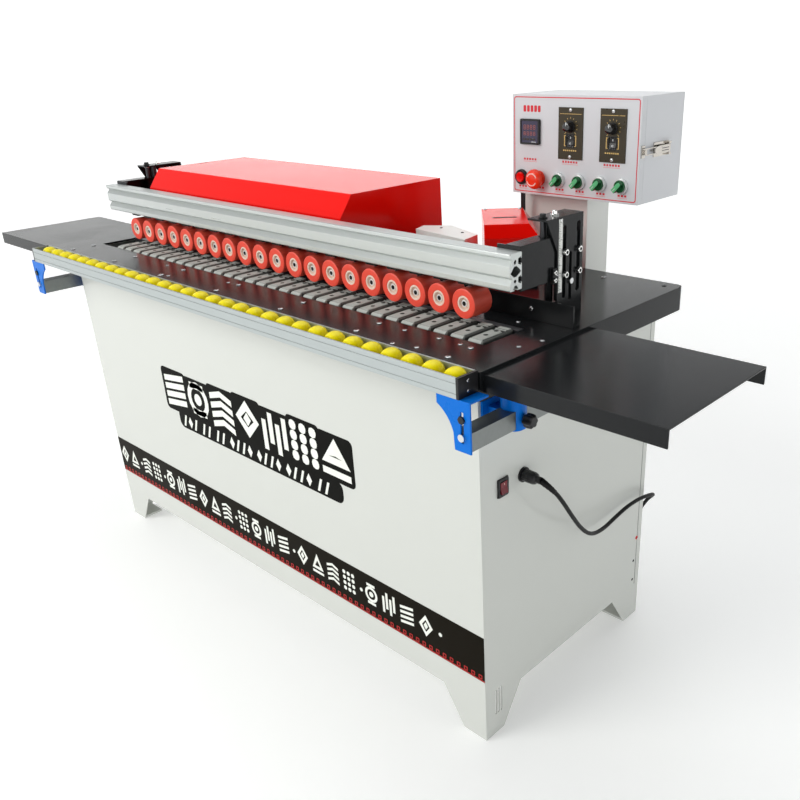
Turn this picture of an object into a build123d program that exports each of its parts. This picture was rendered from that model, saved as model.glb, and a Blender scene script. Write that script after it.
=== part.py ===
from build123d import *
import math
import os

# Edge banding machine. Millimetres, +Z up, +X along the feed table, the operator stands at -Y.
# Every piece is drawn about the middle of the table, then save() shifts it so that the
# origin is on the floor under the middle of the whole machine.

# ---- driving dimensions ----
TABLE_TOP = 770.0
TABLE_HALF = 718.0
TABLE_FRONT, TABLE_BACK = -303.0, 289.0
TABLE_SKIRT = 46.0
TABLE_SHEET = 4.0

CABINET_HALF = 676.0
CABINET_DEPTH = 263.0
SHEET = 2.0
FOOT_CUT_Z = 82.0
SHELF_Z = 150.0

SLOT_LEFT, SLOT_RIGHT = -637.0, 643.0
SLOT_FRONT, SLOT_BACK = -208.0, -108.0

LEAF_TOP = 765.0
LEAF_SKIRT = 28.0
LEAF_FRONT, LEAF_BACK = -296.0, -18.0
LEAF_RIGHT_END, LEAF_LEFT_END = 1022.0, -1051.0

PAD_COUNT, PAD_PITCH, PAD_WIDTH, PAD_FIRST = 31, 39.0, 28.0, -551.0
PAD_FRONT, PAD_REAR = -205.0, -125.0
PAD_BOTTOM, PAD_TOP = 760.0, 774.0
SPROCKET_R, SPROCKET_Z = 38.0, 706.0

BEAM_LEFT, BEAM_RIGHT = -671.0, 651.0
BEAM_FRONT, BEAM_DEPTH, BEAM_BOTTOM, BEAM_HEIGHT = -153.5, 30.0, 844.0, 60.0
BEAM_MIDDLE = (BEAM_LEFT + BEAM_RIGHT) / 2

ROLLER_COUNT, ROLLER_PITCH, ROLLER_FIRST = 20, 58.0, -552.5
ROLLER_R, ROLLER_Z = 26.0, 808.0
ROLLER_FRONT, ROLLER_REAR = -153.5, -108.5
AXLE_R = 4.0
RUNNING = 0.06

COLUMN_X = 652.0
COLUMN_FRONT, COLUMN_BACK, COLUMN_TOP = -31.0, 41.0, 941.0
COLUMN_DEPTH_X = 40.0
PLATE = 3.0
LIFT_X, LIFT_Y, LIFT_R = 632.0, -45.0, 5.0
ROD_Y, ROD_R = -28.0, 7.0

RAIL_FRONT, RAIL_BACK, RAIL_BOTTOM, RAIL_TOP = -350.0, -308.0, 742.0, 775.0
WHEEL_COUNT, WHEEL_PITCH, WHEEL_FIRST, WHEEL_R = 31, 45.2, -663.0, 18.0
WHEEL_Z = 763.0
ARM_X, ARM_SIZE, ARM_Z = 720.0, 30.0, 677.0
ARM_REAR = -46.0
SLEEVE_FRONT, SLEEVE_REAR = -249.0, -210.0

HOOD_LEFT, HOOD_RIGHT = -572.0, 166.0
HOOD_FRONT, HOOD_BACK, HOOD_TOP, HOOD_FOOT = -88.0, 197.0, 940.0, 778.0
HINGE_Y, HINGE_Z = 202.0, 784.0
POT_X, POT_Y, POT_TURN = 390.0, 144.7, 43.0
POT_TOP, POT_BEND, POT_FOOT = 890.0, 865.5, 776.0

BOX_X, BOX_Y, BOX_Z = 331.0, 245.0, 918.0
BOX_W, BOX_D, BOX_H = 300.0, 150.0, 190.0
DOOR_D = 15.0
BUTTON_Z = BOX_Z + 32.5
SELECTORS = 4
SELECTOR_FIRST, SELECTOR_PITCH = BOX_X + 117.0, 48.7
DIAL_FIRST, DIAL_PITCH, DIAL_Z = BOX_X + 144.5, 96.5, BOX_Z + 121.0
HINGE_PIN_X, HINGE_PIN_Y = BOX_X - 4.5, BOX_Y + DOOR_D

INLET_Y, INLET_Z = -152.0, 528.0
SWITCH_Y, SWITCH_Z = -208.0, 527.0

CORD_R = 4.0
COIL_X, COIL_Y, COIL_MEAN_R = 548.0, 330.0, 44.0
CORD_ROUTE = [
    (716, -152, 528), (731, -149, 520), (737, -128, 494), (735, -92, 444), (727, -46, 388),
    (717, 4, 346), (708, 58, 330), (701, 106, 328), (697, 156, 330), (696, 206, 328),
    (697, 250, 320), (690, 286, 304), (664, 299, 276), (642, 295, 228), (634, 290, 172),
    (632, 290, 116), (629, 297, 64), (620, 307, 22), (606, 326, 6), (592, 350, 6),
]


# ---- helpers ----
def slab(x0, x1, y0, y1, z0, z1):
    return Pos((x0 + x1) / 2, (y0 + y1) / 2, (z0 + z1) / 2) * Box(abs(x1 - x0), y1 - y0, z1 - z0)


def rod_x(x0, x1, y, z, r):
    return Pos((x0 + x1) / 2, y, z) * Rot(0, 90, 0) * Cylinder(r, x1 - x0)


def rod_y(y0, y1, x, z, r):
    return Pos(x, (y0 + y1) / 2, z) * Rot(90, 0, 0) * Cylinder(r, y1 - y0)


def rod_z(z0, z1, x, y, r):
    return Pos(x, y, (z0 + z1) / 2) * Cylinder(r, z1 - z0)


def prism_x(points, x0, x1):
    return extrude(Plane.YZ.offset(x0) * make_face(Polyline(*points, close=True)), amount=x1 - x0)


def prism_y(points, y0, y1):
    return extrude(Plane.XZ.offset(-y1) * make_face(Polyline(*points, close=True)), amount=y1 - y0)


def prism_z(points, z0, z1):
    return extrude(Plane.XY.offset(z0) * make_face(Polyline(*points, close=True)), amount=z1 - z0)


def hex_bar_z(z0, z1, x, y, across):
    return Pos(x, y, z0) * extrude(RegularPolygon(across / math.sqrt(3), 6), amount=z1 - z0)


def other_side(shape, middle=0.0):
    return mirror(shape, about=Plane.YZ.offset(middle))


def slot_z(y, width, z0, z1, x0, x1):
    r = width / 2
    return slab(x0, x1, y - r, y + r, z0 + r, z1 - r) + rod_x(x0, x1, y, z0 + r, r) + rod_x(x0, x1, y, z1 - r, r)


def channel(x0, x1, y0, y1, z0, z1, t):
    """A sheet folded down at the front and the back."""
    return slab(x0, x1, y0, y1, z0, z1) - slab(x0 - 1, x1 + 1, y0 + t, y1 - t, z0 - 1, z1 - t)


# ---- cabinet and tables ----
def cabinet_shell():
    h, d = CABINET_HALF, CABINET_DEPTH
    top = TABLE_TOP - TABLE_SHEET
    inside = slab(-h + SHEET, h - SHEET, -d + SHEET, d - SHEET, -1, top + 1)
    shell = slab(-h, h, -d, d, 0, top) - inside
    shell += slab(-h + 1, h - 1, -d + 1, d - 1, SHELF_Z, SHELF_Z + 3)
    rim = slab(-h + 1, h - 1, -d + 1, d - 1, top - 3, top)
    shell += rim - slab(-h + 30, h - 30, -d + 26, d - 26, top - 4, top + 1)
    shell -= prism_y([(-619, -1), (619, -1), (568, FOOT_CUT_Z), (-568, FOOT_CUT_Z)], -d - 1, d + 1)
    shell -= prism_x([(-212, -1), (212, -1), (159, FOOT_CUT_Z), (-159, FOOT_CUT_Z)], -h - 1, h + 1)
    for sx in (-1, 1):
        for sy in (-1, 1):
            pad = slab(-28, 28, -26, 26, 0, 6)
            shell += Pos(sx * (h - 29), sy * (d - 27), 0) * pad
    for i in range(3):
        shell -= slab(h - SHEET - 1, h + 1, -236 + 8 * i, -232 + 8 * i, 46, 104)
    for row in range(2):
        for i in range(7):
            shell -= slab(-h - 1, -h + SHEET + 1, -90 + 30 * i, -80 + 30 * i, 300 + 120 * row, 390 + 120 * row)
            shell -= slab(-120 + 40 * i, -108 + 40 * i, d - SHEET - 1, d + 1, 300 + 120 * row, 390 + 120 * row)
    shell -= slab(h - SHEET - 1, h + 1, INLET_Y - 10.5, INLET_Y + 10.5, INLET_Z - 8, INLET_Z + 8)
    shell -= slab(h - SHEET - 1, h + 1, SWITCH_Y - 10.5, SWITCH_Y + 10.5, SWITCH_Z - 14, SWITCH_Z + 14)
    return shell


def table_top():
    low = TABLE_TOP - TABLE_SKIRT
    t = TABLE_SHEET
    table = slab(-TABLE_HALF, TABLE_HALF, TABLE_FRONT, TABLE_BACK, low, TABLE_TOP)
    corners = table.edges().filter_by(Axis.Z).filter_by(lambda e: e.center().Y > 0)
    table = fillet(corners, 14)
    table -= slab(-TABLE_HALF + t, TABLE_HALF - t, TABLE_FRONT + t, TABLE_BACK - t, low - 1, TABLE_TOP - t)
    table -= slab(SLOT_LEFT, SLOT_RIGHT, SLOT_FRONT, SLOT_BACK, low, TABLE_TOP + 1)
    for x0, x1 in ((-500, -380), (-250, -130), (0, 120)):
        table -= slab(x0, x1, -36, 60, low, TABLE_TOP + 1)
    for x in (-560, 690):
        table -= rod_z(low, TABLE_TOP + 1, x, 262, 5)
    return table


def extension_tables():
    def leaf(x0, x1, inner):
        body = channel(x0, x1, LEAF_FRONT, LEAF_BACK, LEAF_TOP - LEAF_SKIRT, LEAF_TOP, 2.5)
        a, b = (inner, inner + 2.5) if inner == x0 else (inner - 2.5, inner)
        body += slab(a, b, LEAF_FRONT + 1, LEAF_BACK - 1, LEAF_TOP - LEAF_SKIRT, LEAF_TOP - 1)
        return body
    right = leaf(TABLE_HALF, LEAF_RIGHT_END, TABLE_HALF)
    left = leaf(LEAF_LEFT_END, -TABLE_HALF, -TABLE_HALF)
    return [right, left]


FENCE_FACE, FENCE_TOP = -58.0, 808.0


def guide_fence():
    fence = slab(-640, 706, FENCE_FACE, FENCE_FACE + 4, TABLE_TOP, FENCE_TOP)
    fence += slab(-640, 706, FENCE_FACE + 3, -39, TABLE_TOP, TABLE_TOP + 4)
    for x0, x1 in ((-430, -390), (-210, -170), (40, 80), (470, 510)):
        fence -= slab(x0, x1, FENCE_FACE - 1, FENCE_FACE + 5, TABLE_TOP + 4, FENCE_TOP + 1)
    return fence


def arm_sleeves():
    wall, gap = 5.0, 0.3
    half = ARM_SIZE / 2
    outer = slab(ARM_X - half - wall, ARM_X + half + wall, SLEEVE_FRONT, SLEEVE_REAR,
                 ARM_Z - half - 3, ARM_Z + half + 30)
    outer = fillet(outer.edges().filter_by(Axis.Z), 18)
    outer += slab(CABINET_HALF, ARM_X - half - 2, SLEEVE_FRONT + 6, SLEEVE_REAR - 6, ARM_Z - 10, ARM_Z + 10)
    outer += slab(CABINET_HALF, CABINET_HALF + 4, SLEEVE_FRONT - 8, SLEEVE_REAR + 8, ARM_Z - 22, ARM_Z + 22)
    outer -= slab(ARM_X - half - gap, ARM_X + half + gap, SLEEVE_FRONT - 1, SLEEVE_REAR + 1,
                  ARM_Z - half - gap, ARM_Z + half + gap)
    outer -= rod_x(ARM_X + half, ARM_X + half + 9, (SLEEVE_FRONT + SLEEVE_REAR) / 2, ARM_Z, 4 + RUNNING)
    return [outer, other_side(outer)]


def fasteners():
    parts = []
    for i in range(7):
        for y in (-232, -284):
            parts.append(rod_z(TABLE_TOP, TABLE_TOP + 1, -636 + 212 * i, y, 4.5))
    for x in (-600, -300, 260, 560):
        parts.append(rod_z(TABLE_TOP, TABLE_TOP + 1, x, 250, 4.5))
    for x in (-600, -330, -80, 200, 560, 690):
        parts.append(rod_z(TABLE_TOP + 4, TABLE_TOP + 7, x, -46.5, 4))
    for x in (-520, -100, 300, 620):
        parts.append(rod_y(FENCE_FACE - 1.5, FENCE_FACE, x, 790, 4))
    for x in (-450, -200, 60):
        parts.append(Pos(x, HINGE_Y, HINGE_Z) * hinge_bracket(15, HINGE_Z - TABLE_TOP))
    for x, y in ((-34, -86), (53, -86), (-34, 76), (53, 76)):
        local = slab(x - 5, x + 5, y - 5, y + 5, TABLE_TOP, POT_FOOT + 20)
        parts.append(Pos(POT_X, POT_Y, 0) * Rot(0, 0, POT_TURN) * local)
    for z in (BOX_Z + 22, BOX_Z + 152):
        pin = rod_z(z - 15, z - 0.3, HINGE_PIN_X, HINGE_PIN_Y + 0.5, 3.9)
        pin += slab(HINGE_PIN_X, BOX_X, HINGE_PIN_Y + 0.5, HINGE_PIN_Y + 4.4, z - 15, z - 0.3)
        pin += rod_z(z - 5, z + 15, HINGE_PIN_X, HINGE_PIN_Y, 1.5)
        parts.append(pin)
    return parts


def hinge_eye(half):
    """A rolled eye along X, its pin hole at the origin."""
    return rod_x(-half, half, 0, 0, 6) - rod_x(-half - 1, half + 1, 0, 0, 3 + RUNNING)


def hinge_bracket(half, drop):
    """Two ears and the pin between them, standing on the table."""
    bracket = rod_x(-half - 4, half + 4, 0, 0, 3)
    for side in (-1, 1):
        ear = rod_x(0, 3.4, 0, 0, 4.5) + slab(0, 3.4, -4, 4, -drop, 0)
        bracket += Pos(side * (half + 2.3) - 1.7, 0, 0) * ear
    return bracket


# ---- lifting columns and the pressing beam ----
def lift_columns():
    x, front, back, top = COLUMN_X, COLUMN_FRONT, COLUMN_BACK, COLUMN_TOP
    inner = x - COLUMN_DEPTH_X
    col = prism_x([(front, TABLE_TOP), (back, TABLE_TOP), (back, top), (front - 29, top),
                   (front - 29, top - 3), (front, top - 56)], x - PLATE, x)
    col += slab(inner, x, front - 29, back, top - PLATE, top)
    col += slab(inner, x, back - PLATE, back, TABLE_TOP, top)
    col += slab(inner, x, 0, back, TABLE_TOP, TABLE_TOP + 4)
    col -= slot_z(-11.5, 9.0, 803, 926, x - PLATE - 1, x + 1)
    col -= slot_z(6.2, 7.5, 795, 880, x - PLATE - 1, x + 1)
    col -= slot_z(27.5, 11.0, 808, 928, x - PLATE - 1, x + 1)
    col -= rod_z(top - 5, top + 1, LIFT_X, LIFT_Y, LIFT_R + RUNNING)
    rod = rod_z(TABLE_TOP, top - PLATE, LIFT_X, ROD_Y, ROD_R)
    return [col, rod, other_side(col, BEAM_MIDDLE), other_side(rod, BEAM_MIDDLE)]


def beam():
    f, b = BEAM_FRONT, BEAM_FRONT + BEAM_DEPTH
    z0, z1 = BEAM_BOTTOM, BEAM_BOTTOM + BEAM_HEIGHT
    yc, zc = (f + b) / 2, (z0 + z1) / 2
    x0, x1 = BEAM_LEFT, BEAM_RIGHT
    bar = slab(x0, x1, f, b, z0, z1)
    bar = fillet(bar.edges().filter_by(Axis.X), 2)
    bar -= prism_x([(f - 1, z1 - 6), (f + 6.5, z1 - 10.5), (f + 6.5, z1 - 11.3), (f - 1, z1 - 21)], x0 - 1, x1 + 1)
    bar -= prism_x([(f - 1, z0 + 24), (f + 6.5, z0 + 19), (f + 6.5, z0 + 18.2), (f - 1, z0 + 8.5)], x0 - 1, x1 + 1)
    for z in (z0 + 16, z1 - 14):
        bar -= slab(x0 - 1, x1 + 1, b - 3, b + 1, z - 4, z + 4)
        bar -= prism_x([(b - 2, z - 7), (b - 2, z + 7), (b - 9, z + 4), (b - 9, z - 4)], x0 - 1, x1 + 1)
        bar -= rod_x(x0 - 1, x1 + 1, yc - 2, z - 1, 2.8)
    bar -= slab(x0 - 1, x1 + 1, yc - 4, yc + 4, z0 - 1, z0 + 3)
    bar -= prism_x([(yc - 7, z0 + 2), (yc + 6, z0 + 2), (yc + 2, z0 + 8), (yc - 3, z0 + 8)], x0 - 1, x1 + 1)
    core = [(f + 2, zc - 1), (yc - 4, zc + 9), (yc + 2, zc + 9), (b - 3, zc + 1), (b - 3, zc - 2), (yc + 1, zc - 8),
            (yc - 5, zc - 8)]
    return bar - prism_x(core, x0 - 1, x1 + 1)


def carrier():
    """The plate that carries the beam's right end and slides on the column."""
    out = COLUMN_X - PLATE - 0.3
    back = BEAM_FRONT + BEAM_DEPTH
    plate = slab(out - PLATE, out, back, 36, 838, 911) + slab(out - PLATE, out, COLUMN_FRONT, 36, 802, 840)
    plate += slab(618, out, back, 20, 908, 911)
    plate += slab(600, out, back, back + PLATE, 842, 910)
    plate += slab(621, 643, -54, -17, 884, 909)
    plate -= rod_z(880, 915, LIFT_X, LIFT_Y, LIFT_R + RUNNING)
    plate -= rod_z(909, 915, LIFT_X, LIFT_Y, 7.5)
    plate -= rod_z(880, 915, LIFT_X, ROD_Y, ROD_R + RUNNING)
    pointer = slab(out, out + 5.6, -45, -35, 834, 860)
    bolts = []
    for y, z, r in ((-11.5, 882, 3.5), (-11.5, 844, 3.5), (6.2, 830, 3), (27.5, 881, 3.5), (27.5, 844, 3.5)):
        bolts.append(rod_x(out, COLUMN_X + 0.4, y, z, r) + rod_x(COLUMN_X + 0.3, COLUMN_X + 4, y, z, 5.5 if r > 3 else 5))
    for z in (859, 889):
        bolts.append(rod_y(back + PLATE, back + PLATE + 5, 625, z, 5))
    return [plate, pointer] + bolts


def hanger(x):
    """The bracket behind one roller, its axle bolt, washer and nut."""
    plate = slab(x - 14, x + 14, -104.5, -100.5, 796, BEAM_BOTTOM)
    plate += slab(x - 14, x + 14, -150, -100.5, BEAM_BOTTOM - 4, BEAM_BOTTOM)
    plate -= rod_y(-105, -100, x, ROLLER_Z, AXLE_R)
    bolt = rod_y(-147.5, -95.5, x, ROLLER_Z, AXLE_R) + rod_y(-151, -146.9, x, ROLLER_Z, 6.2)
    bolt += rod_y(-108.2, -104.5, x, ROLLER_Z, 7) + rod_y(-100.5, -96, x, ROLLER_Z, 6.5)
    return [plate, bolt]


def beam_brackets():
    right = carrier()
    parts = right + [other_side(piece, BEAM_MIDDLE) for piece in right]
    for i in range(ROLLER_COUNT):
        parts += hanger(ROLLER_FIRST + ROLLER_PITCH * i)
    return parts


def roller(i):
    x = ROLLER_FIRST + ROLLER_PITCH * i
    body = rod_y(ROLLER_FRONT, ROLLER_REAR, x, ROLLER_Z, ROLLER_R)
    body = chamfer(body.edges().filter_by(GeomType.CIRCLE), 1.5)
    body -= rod_y(ROLLER_FRONT - 1, ROLLER_FRONT + 7, x, ROLLER_Z, 9)
    body -= rod_y(ROLLER_FRONT - 1, ROLLER_REAR + 1, x, ROLLER_Z, AXLE_R + RUNNING)
    return body


def lift_screw():
    top = COLUMN_TOP
    screw = rod_z(832, top + 2, LIFT_X, LIFT_Y, LIFT_R)
    screw += rod_z(top + 0.3, top + 2, LIFT_X, LIFT_Y, 7.5)
    screw += hex_bar_z(top + 2, top + 7, LIFT_X, LIFT_Y, 10)
    screw += rod_z(top - PLATE - 2.3, top - PLATE - 0.3, LIFT_X, LIFT_Y, 7)
    return screw


# ---- feed ----
def conveyor_pads():
    parts = []
    for i in range(PAD_COUNT):
        x = PAD_FIRST + PAD_PITCH * i
        half = PAD_WIDTH / 2
        pad = prism_y([(x - half, PAD_BOTTOM), (x + half, PAD_BOTTOM), (x + half, PAD_TOP - 3),
                       (x + half - 2.5, PAD_TOP), (x - half + 2.5, PAD_TOP), (x - half, PAD_TOP - 3)],
                      PAD_FRONT, PAD_REAR)
        pad -= prism_x([(PAD_FRONT - 1, PAD_TOP - 4), (PAD_FRONT + 4, PAD_TOP + 1), (PAD_FRONT - 1, PAD_TOP + 1)],
                       x - half - 1, x + half + 1)
        for y in (PAD_FRONT + 28, PAD_FRONT + 54):
            pad -= rod_z(PAD_TOP - 7, PAD_TOP + 1, x, y, 3)
        parts.append(pad)
    last = PAD_FIRST + PAD_PITCH * (PAD_COUNT - 1)
    parts.append(slab(PAD_FIRST - 14, last + 14, -176, -154, 748, PAD_BOTTOM))
    return parts


def sprocket(x, y0, y1, z, r):
    wheel = rod_y(y0, y1, x, z, r)
    for i in range(12):
        a = math.radians(30 * i)
        wheel -= rod_y(y0 - 1, y1 + 1, x + (r + 1) * math.cos(a), z + (r + 1) * math.sin(a), 6)
    return wheel


def conveyor_drive():
    parts = []
    for y0, y1 in ((-203, -183), (-147, -127)):
        parts.append(slab(-600, 600, y0, y1, 744, PAD_BOTTOM - 0.4))
    parts.append(slab(SLOT_LEFT, SLOT_RIGHT - 1, -122, SLOT_BACK, 762, 771))
    for x in (-540, -180, 180, 540):
        bar = slab(x - 15, x + 15, -226, -98, 736, 744)
        bar += slab(x - 15, x + 15, -226, -214, 736, TABLE_TOP - TABLE_SHEET)
        bar += slab(x - 15, x + 15, -106, -98, 736, TABLE_TOP - TABLE_SHEET)
        parts.append(bar)
    for x in (-628, 628):
        wheel = sprocket(x, -172, -158, SPROCKET_Z, SPROCKET_R)
        parts.append(wheel + rod_y(-232, -90, x, SPROCKET_Z, 10))
        for y in (-232, -98):
            bearing = slab(x - 16, x + 16, y, y + 8, SPROCKET_Z - 24, TABLE_TOP - TABLE_SHEET)
            bearing -= rod_y(y - 1, y + 9, x, SPROCKET_Z, 10)
            parts.append(bearing)
    gearbox = slab(583, 664, -90, -10, SPROCKET_Z - 44, SPROCKET_Z + 38)
    motor = rod_x(430, 583, -50, SPROCKET_Z - 2, 40)
    foot = slab(600, 640, -80, -20, SPROCKET_Z + 38, TABLE_TOP - TABLE_SHEET)
    parts += [gearbox, motor, foot]
    return parts


def work_units():
    parts = []
    cover = prism_z([(224, 60), (378, 40), (367, 90), (262, 128), (212, 95)], TABLE_TOP, 860)
    parts.append(cover)
    turn = Pos(POT_X, POT_Y, 0) * Rot(0, 0, POT_TURN)
    pot = slab(-34, 34, -40, 60, TABLE_TOP, 850) - slab(-28, 28, -34, 54, 786, 851)
    parts.append(turn * pot)
    parts.append(turn * (rod_z(TABLE_TOP, 838, 0, -62, 16) + slab(-6, 6, -50, -38, 800, 836)))
    for i, x in enumerate((-440, -190, 60)):
        base = slab(x - 42, x + 42, -16, 110, TABLE_TOP, TABLE_TOP + 10)
        motor = rod_z(TABLE_TOP + 10, 905 - 15 * i, x, 60, 34)
        cutter = rod_y(-30, 26, x, 800, 12) + rod_y(-50, -30, x, 800, 17)
        parts += [base, motor, cutter]
    return parts


def front_rail():
    t = 3.0
    rail = slab(-TABLE_HALF + 5, TABLE_HALF - 5, RAIL_FRONT, RAIL_BACK, RAIL_BOTTOM, RAIL_TOP)
    rail -= slab(-TABLE_HALF, TABLE_HALF, RAIL_FRONT + t, RAIL_BACK - t, RAIL_BOTTOM + 2, RAIL_TOP + 1)
    for z in (RAIL_BOTTOM + 8, RAIL_BOTTOM + 24):
        rail -= slab(-TABLE_HALF, TABLE_HALF, RAIL_FRONT - 1, RAIL_FRONT + 0.8, z - 0.7, z + 0.7)
    cap = slab(TABLE_HALF - 5, TABLE_HALF, RAIL_FRONT, RAIL_BACK, RAIL_BOTTOM, RAIL_TOP)
    return [rail, cap, other_side(cap)]


def rail_wheels():
    parts = []
    yc = (RAIL_FRONT + RAIL_BACK) / 2
    for i in range(WHEEL_COUNT):
        x = WHEEL_FIRST + WHEEL_PITCH * i
        wheel = Pos(x, yc, WHEEL_Z) * Rot(90, 0, 0) * Cylinder(WHEEL_R, 28)
        wheel = fillet(wheel.edges().filter_by(GeomType.CIRCLE), 8)
        pin = rod_y(RAIL_FRONT + 3, yc - 14, x, WHEEL_Z, 2.5) + rod_y(yc + 14, RAIL_BACK - 3, x, WHEEL_Z, 2.5)
        parts.append(wheel + pin)
    return parts


def rail_arms():
    half = ARM_SIZE / 2
    plate_y = RAIL_FRONT + 1
    arm = slab(ARM_X - half, ARM_X + half, plate_y + 3, ARM_REAR, ARM_Z - half, ARM_Z + half)
    arm -= slab(ARM_X - half + 2, ARM_X + half - 2, plate_y + 6, ARM_REAR + 1, ARM_Z - half + 2, ARM_Z + half - 2)
    with BuildSketch(Plane.XZ.offset(-(plate_y + 3))) as face:
        with BuildLine():
            a = Line((672, 742), (738, 742))
            b = Line(a @ 1, (738, 660))
            c = Line(b @ 1, (706, 660))
            d = Line(c @ 1, (704, 688))
            e = RadiusArc(d @ 1, (672, 727), -66)
            Line(e @ 1, a @ 0)
        make_face()
    plate = extrude(face.sketch, amount=3)
    plate += slab(690, 738, plate_y + 1, RAIL_BACK, 739, 742)
    plate -= slab(719, 725, plate_y - 1, plate_y + 4, 674, 724)
    bolt = rod_y(plate_y - 4, plate_y, 722, 684, 6)
    return [arm, plate, bolt, other_side(arm), other_side(plate), other_side(bolt)]


def star_knob():
    y, z = (SLEEVE_FRONT + SLEEVE_REAR) / 2, ARM_Z
    x0 = ARM_X + ARM_SIZE / 2 + 0.3
    stud = rod_x(x0, x0 + 12, y, z, 4)
    head = rod_x(x0 + 7, x0 + 26, y, z, 9)
    for i in range(6):
        a = math.radians(60 * i)
        head += rod_x(x0 + 11, x0 + 25, y + 8 * math.cos(a), z + 8 * math.sin(a), 4.2)
    return head + stud


# ---- covers ----
def main_hood():
    t = SHEET
    outer = prism_x([(HOOD_FRONT, 832), (HOOD_FRONT, 897), (HOOD_FRONT + 33, HOOD_TOP), (HOOD_BACK, HOOD_TOP),
                     (HOOD_BACK, HOOD_FOOT), (-30, HOOD_FOOT), (-30, 832)], HOOD_LEFT, HOOD_RIGHT)
    inner = prism_x([(HOOD_FRONT + t, 700), (HOOD_FRONT + t, 896.3), (HOOD_FRONT + 34, HOOD_TOP - t),
                     (HOOD_BACK - t, HOOD_TOP - t), (HOOD_BACK - t, 700)], HOOD_LEFT + t, HOOD_RIGHT - t)
    hood = outer - inner
    hood -= slab(HOOD_LEFT + 10, HOOD_LEFT + 16, 50, 78, HOOD_TOP - 3, HOOD_TOP + 1)
    for x in (-450, -200, 60):
        hood += Pos(x, HINGE_Y, HINGE_Z) * hinge_eye(15)
        hood -= rod_x(x - 40, x + 40, HINGE_Y, HINGE_Z, 3 + RUNNING)
    return hood


def pot_hood_form(inset, foot):
    """Vertical skirt, then a top that leans in at the front and the right."""
    y0, y1 = -95 + inset, 84.5 - inset
    x0, x1 = -43 + inset, 62 - inset
    skirt = slab(x0, x1, y0, y1, foot, POT_BEND)
    low = Plane.XY.offset(POT_BEND) * Polyline((x0, y0), (x1, y0), (x1, y1), (x0, y1), close=True)
    high = Plane.XY.offset(POT_TOP - inset) * Polyline(
        (x0, y0 + 10.5), (x1 - 19, y0 + 10.5), (x1 - 19, y1), (x0, y1), close=True)
    return skirt + loft([make_face(low), make_face(high)])


def small_hood():
    """The lift-off cover over the glue pot, square in its own frame and turned on the table."""
    body = pot_hood_form(0, POT_FOOT) - pot_hood_form(SHEET, 700)
    body -= slab(-22, 22, -18, -14, POT_TOP - 3, POT_TOP + 1)
    return Pos(POT_X, POT_Y, 0) * Rot(0, 0, POT_TURN) * body


# ---- controls ----
def control_post():
    post = slab(318, 486, 293, 371, 300, BOX_Z)
    post -= slab(320, 484, 295, 369, 299, BOX_Z - 2)
    for z in (340, 620):
        post += slab(340, 464, CABINET_DEPTH, 293.5, z, z + 60)
    conduit = rod_z(TABLE_TOP, BOX_Z, 339, 268, 5)
    return [post, conduit]


def control_box():
    x0, x1, y0, y1 = BOX_X, BOX_X + BOX_W, BOX_Y + DOOR_D + 0.5, BOX_Y + BOX_D
    z0, z1 = BOX_Z, BOX_Z + BOX_H
    shell = slab(x0, x1, y0, y1, z0, z1) - slab(x0 + 2, x1 - 2, y0 - 1, y1 - 2, z0 + 2, z1 - 2)
    rail = slab(x0 + 30, x1 - 30, y1 - 12, y1 - 2, z0 + 90, z0 + 125)
    contactors = [slab(x0 + 50 + 70 * i, x0 + 95 + 70 * i, y1 - 62, y1 - 12, z0 + 70, z0 + 145) for i in range(3)]
    base = slab(x1, x1 + 1.5, y0 + 30, y0 + 84, z0 + 82, z0 + 108)
    for z in (z0 + 83, z0 + 103):
        base += slab(x1 + 1, x1 + 8, y0 + 74, y0 + 82, z, z + 4)
    base += rod_z(z0 + 84, z0 + 106, x1 + 5, y0 + 78, 2)
    return [shell, rail, base] + contactors


def door_latch():
    x, y = BOX_X + BOX_W + 5, BOX_Y + DOOR_D + 78.5
    z0 = BOX_Z + 87.5
    lever = rod_z(z0, z0 + 15, x, y, 3.2) + slab(x + 1, x + 4, y - 89, y, z0, z0 + 15)
    lever -= rod_z(z0 - 1, z0 + 16, x, y, 2 + RUNNING)
    lever -= slab(x, x + 5, y - 86, y - 66, z0 + 3, z0 + 12)
    return lever


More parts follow.
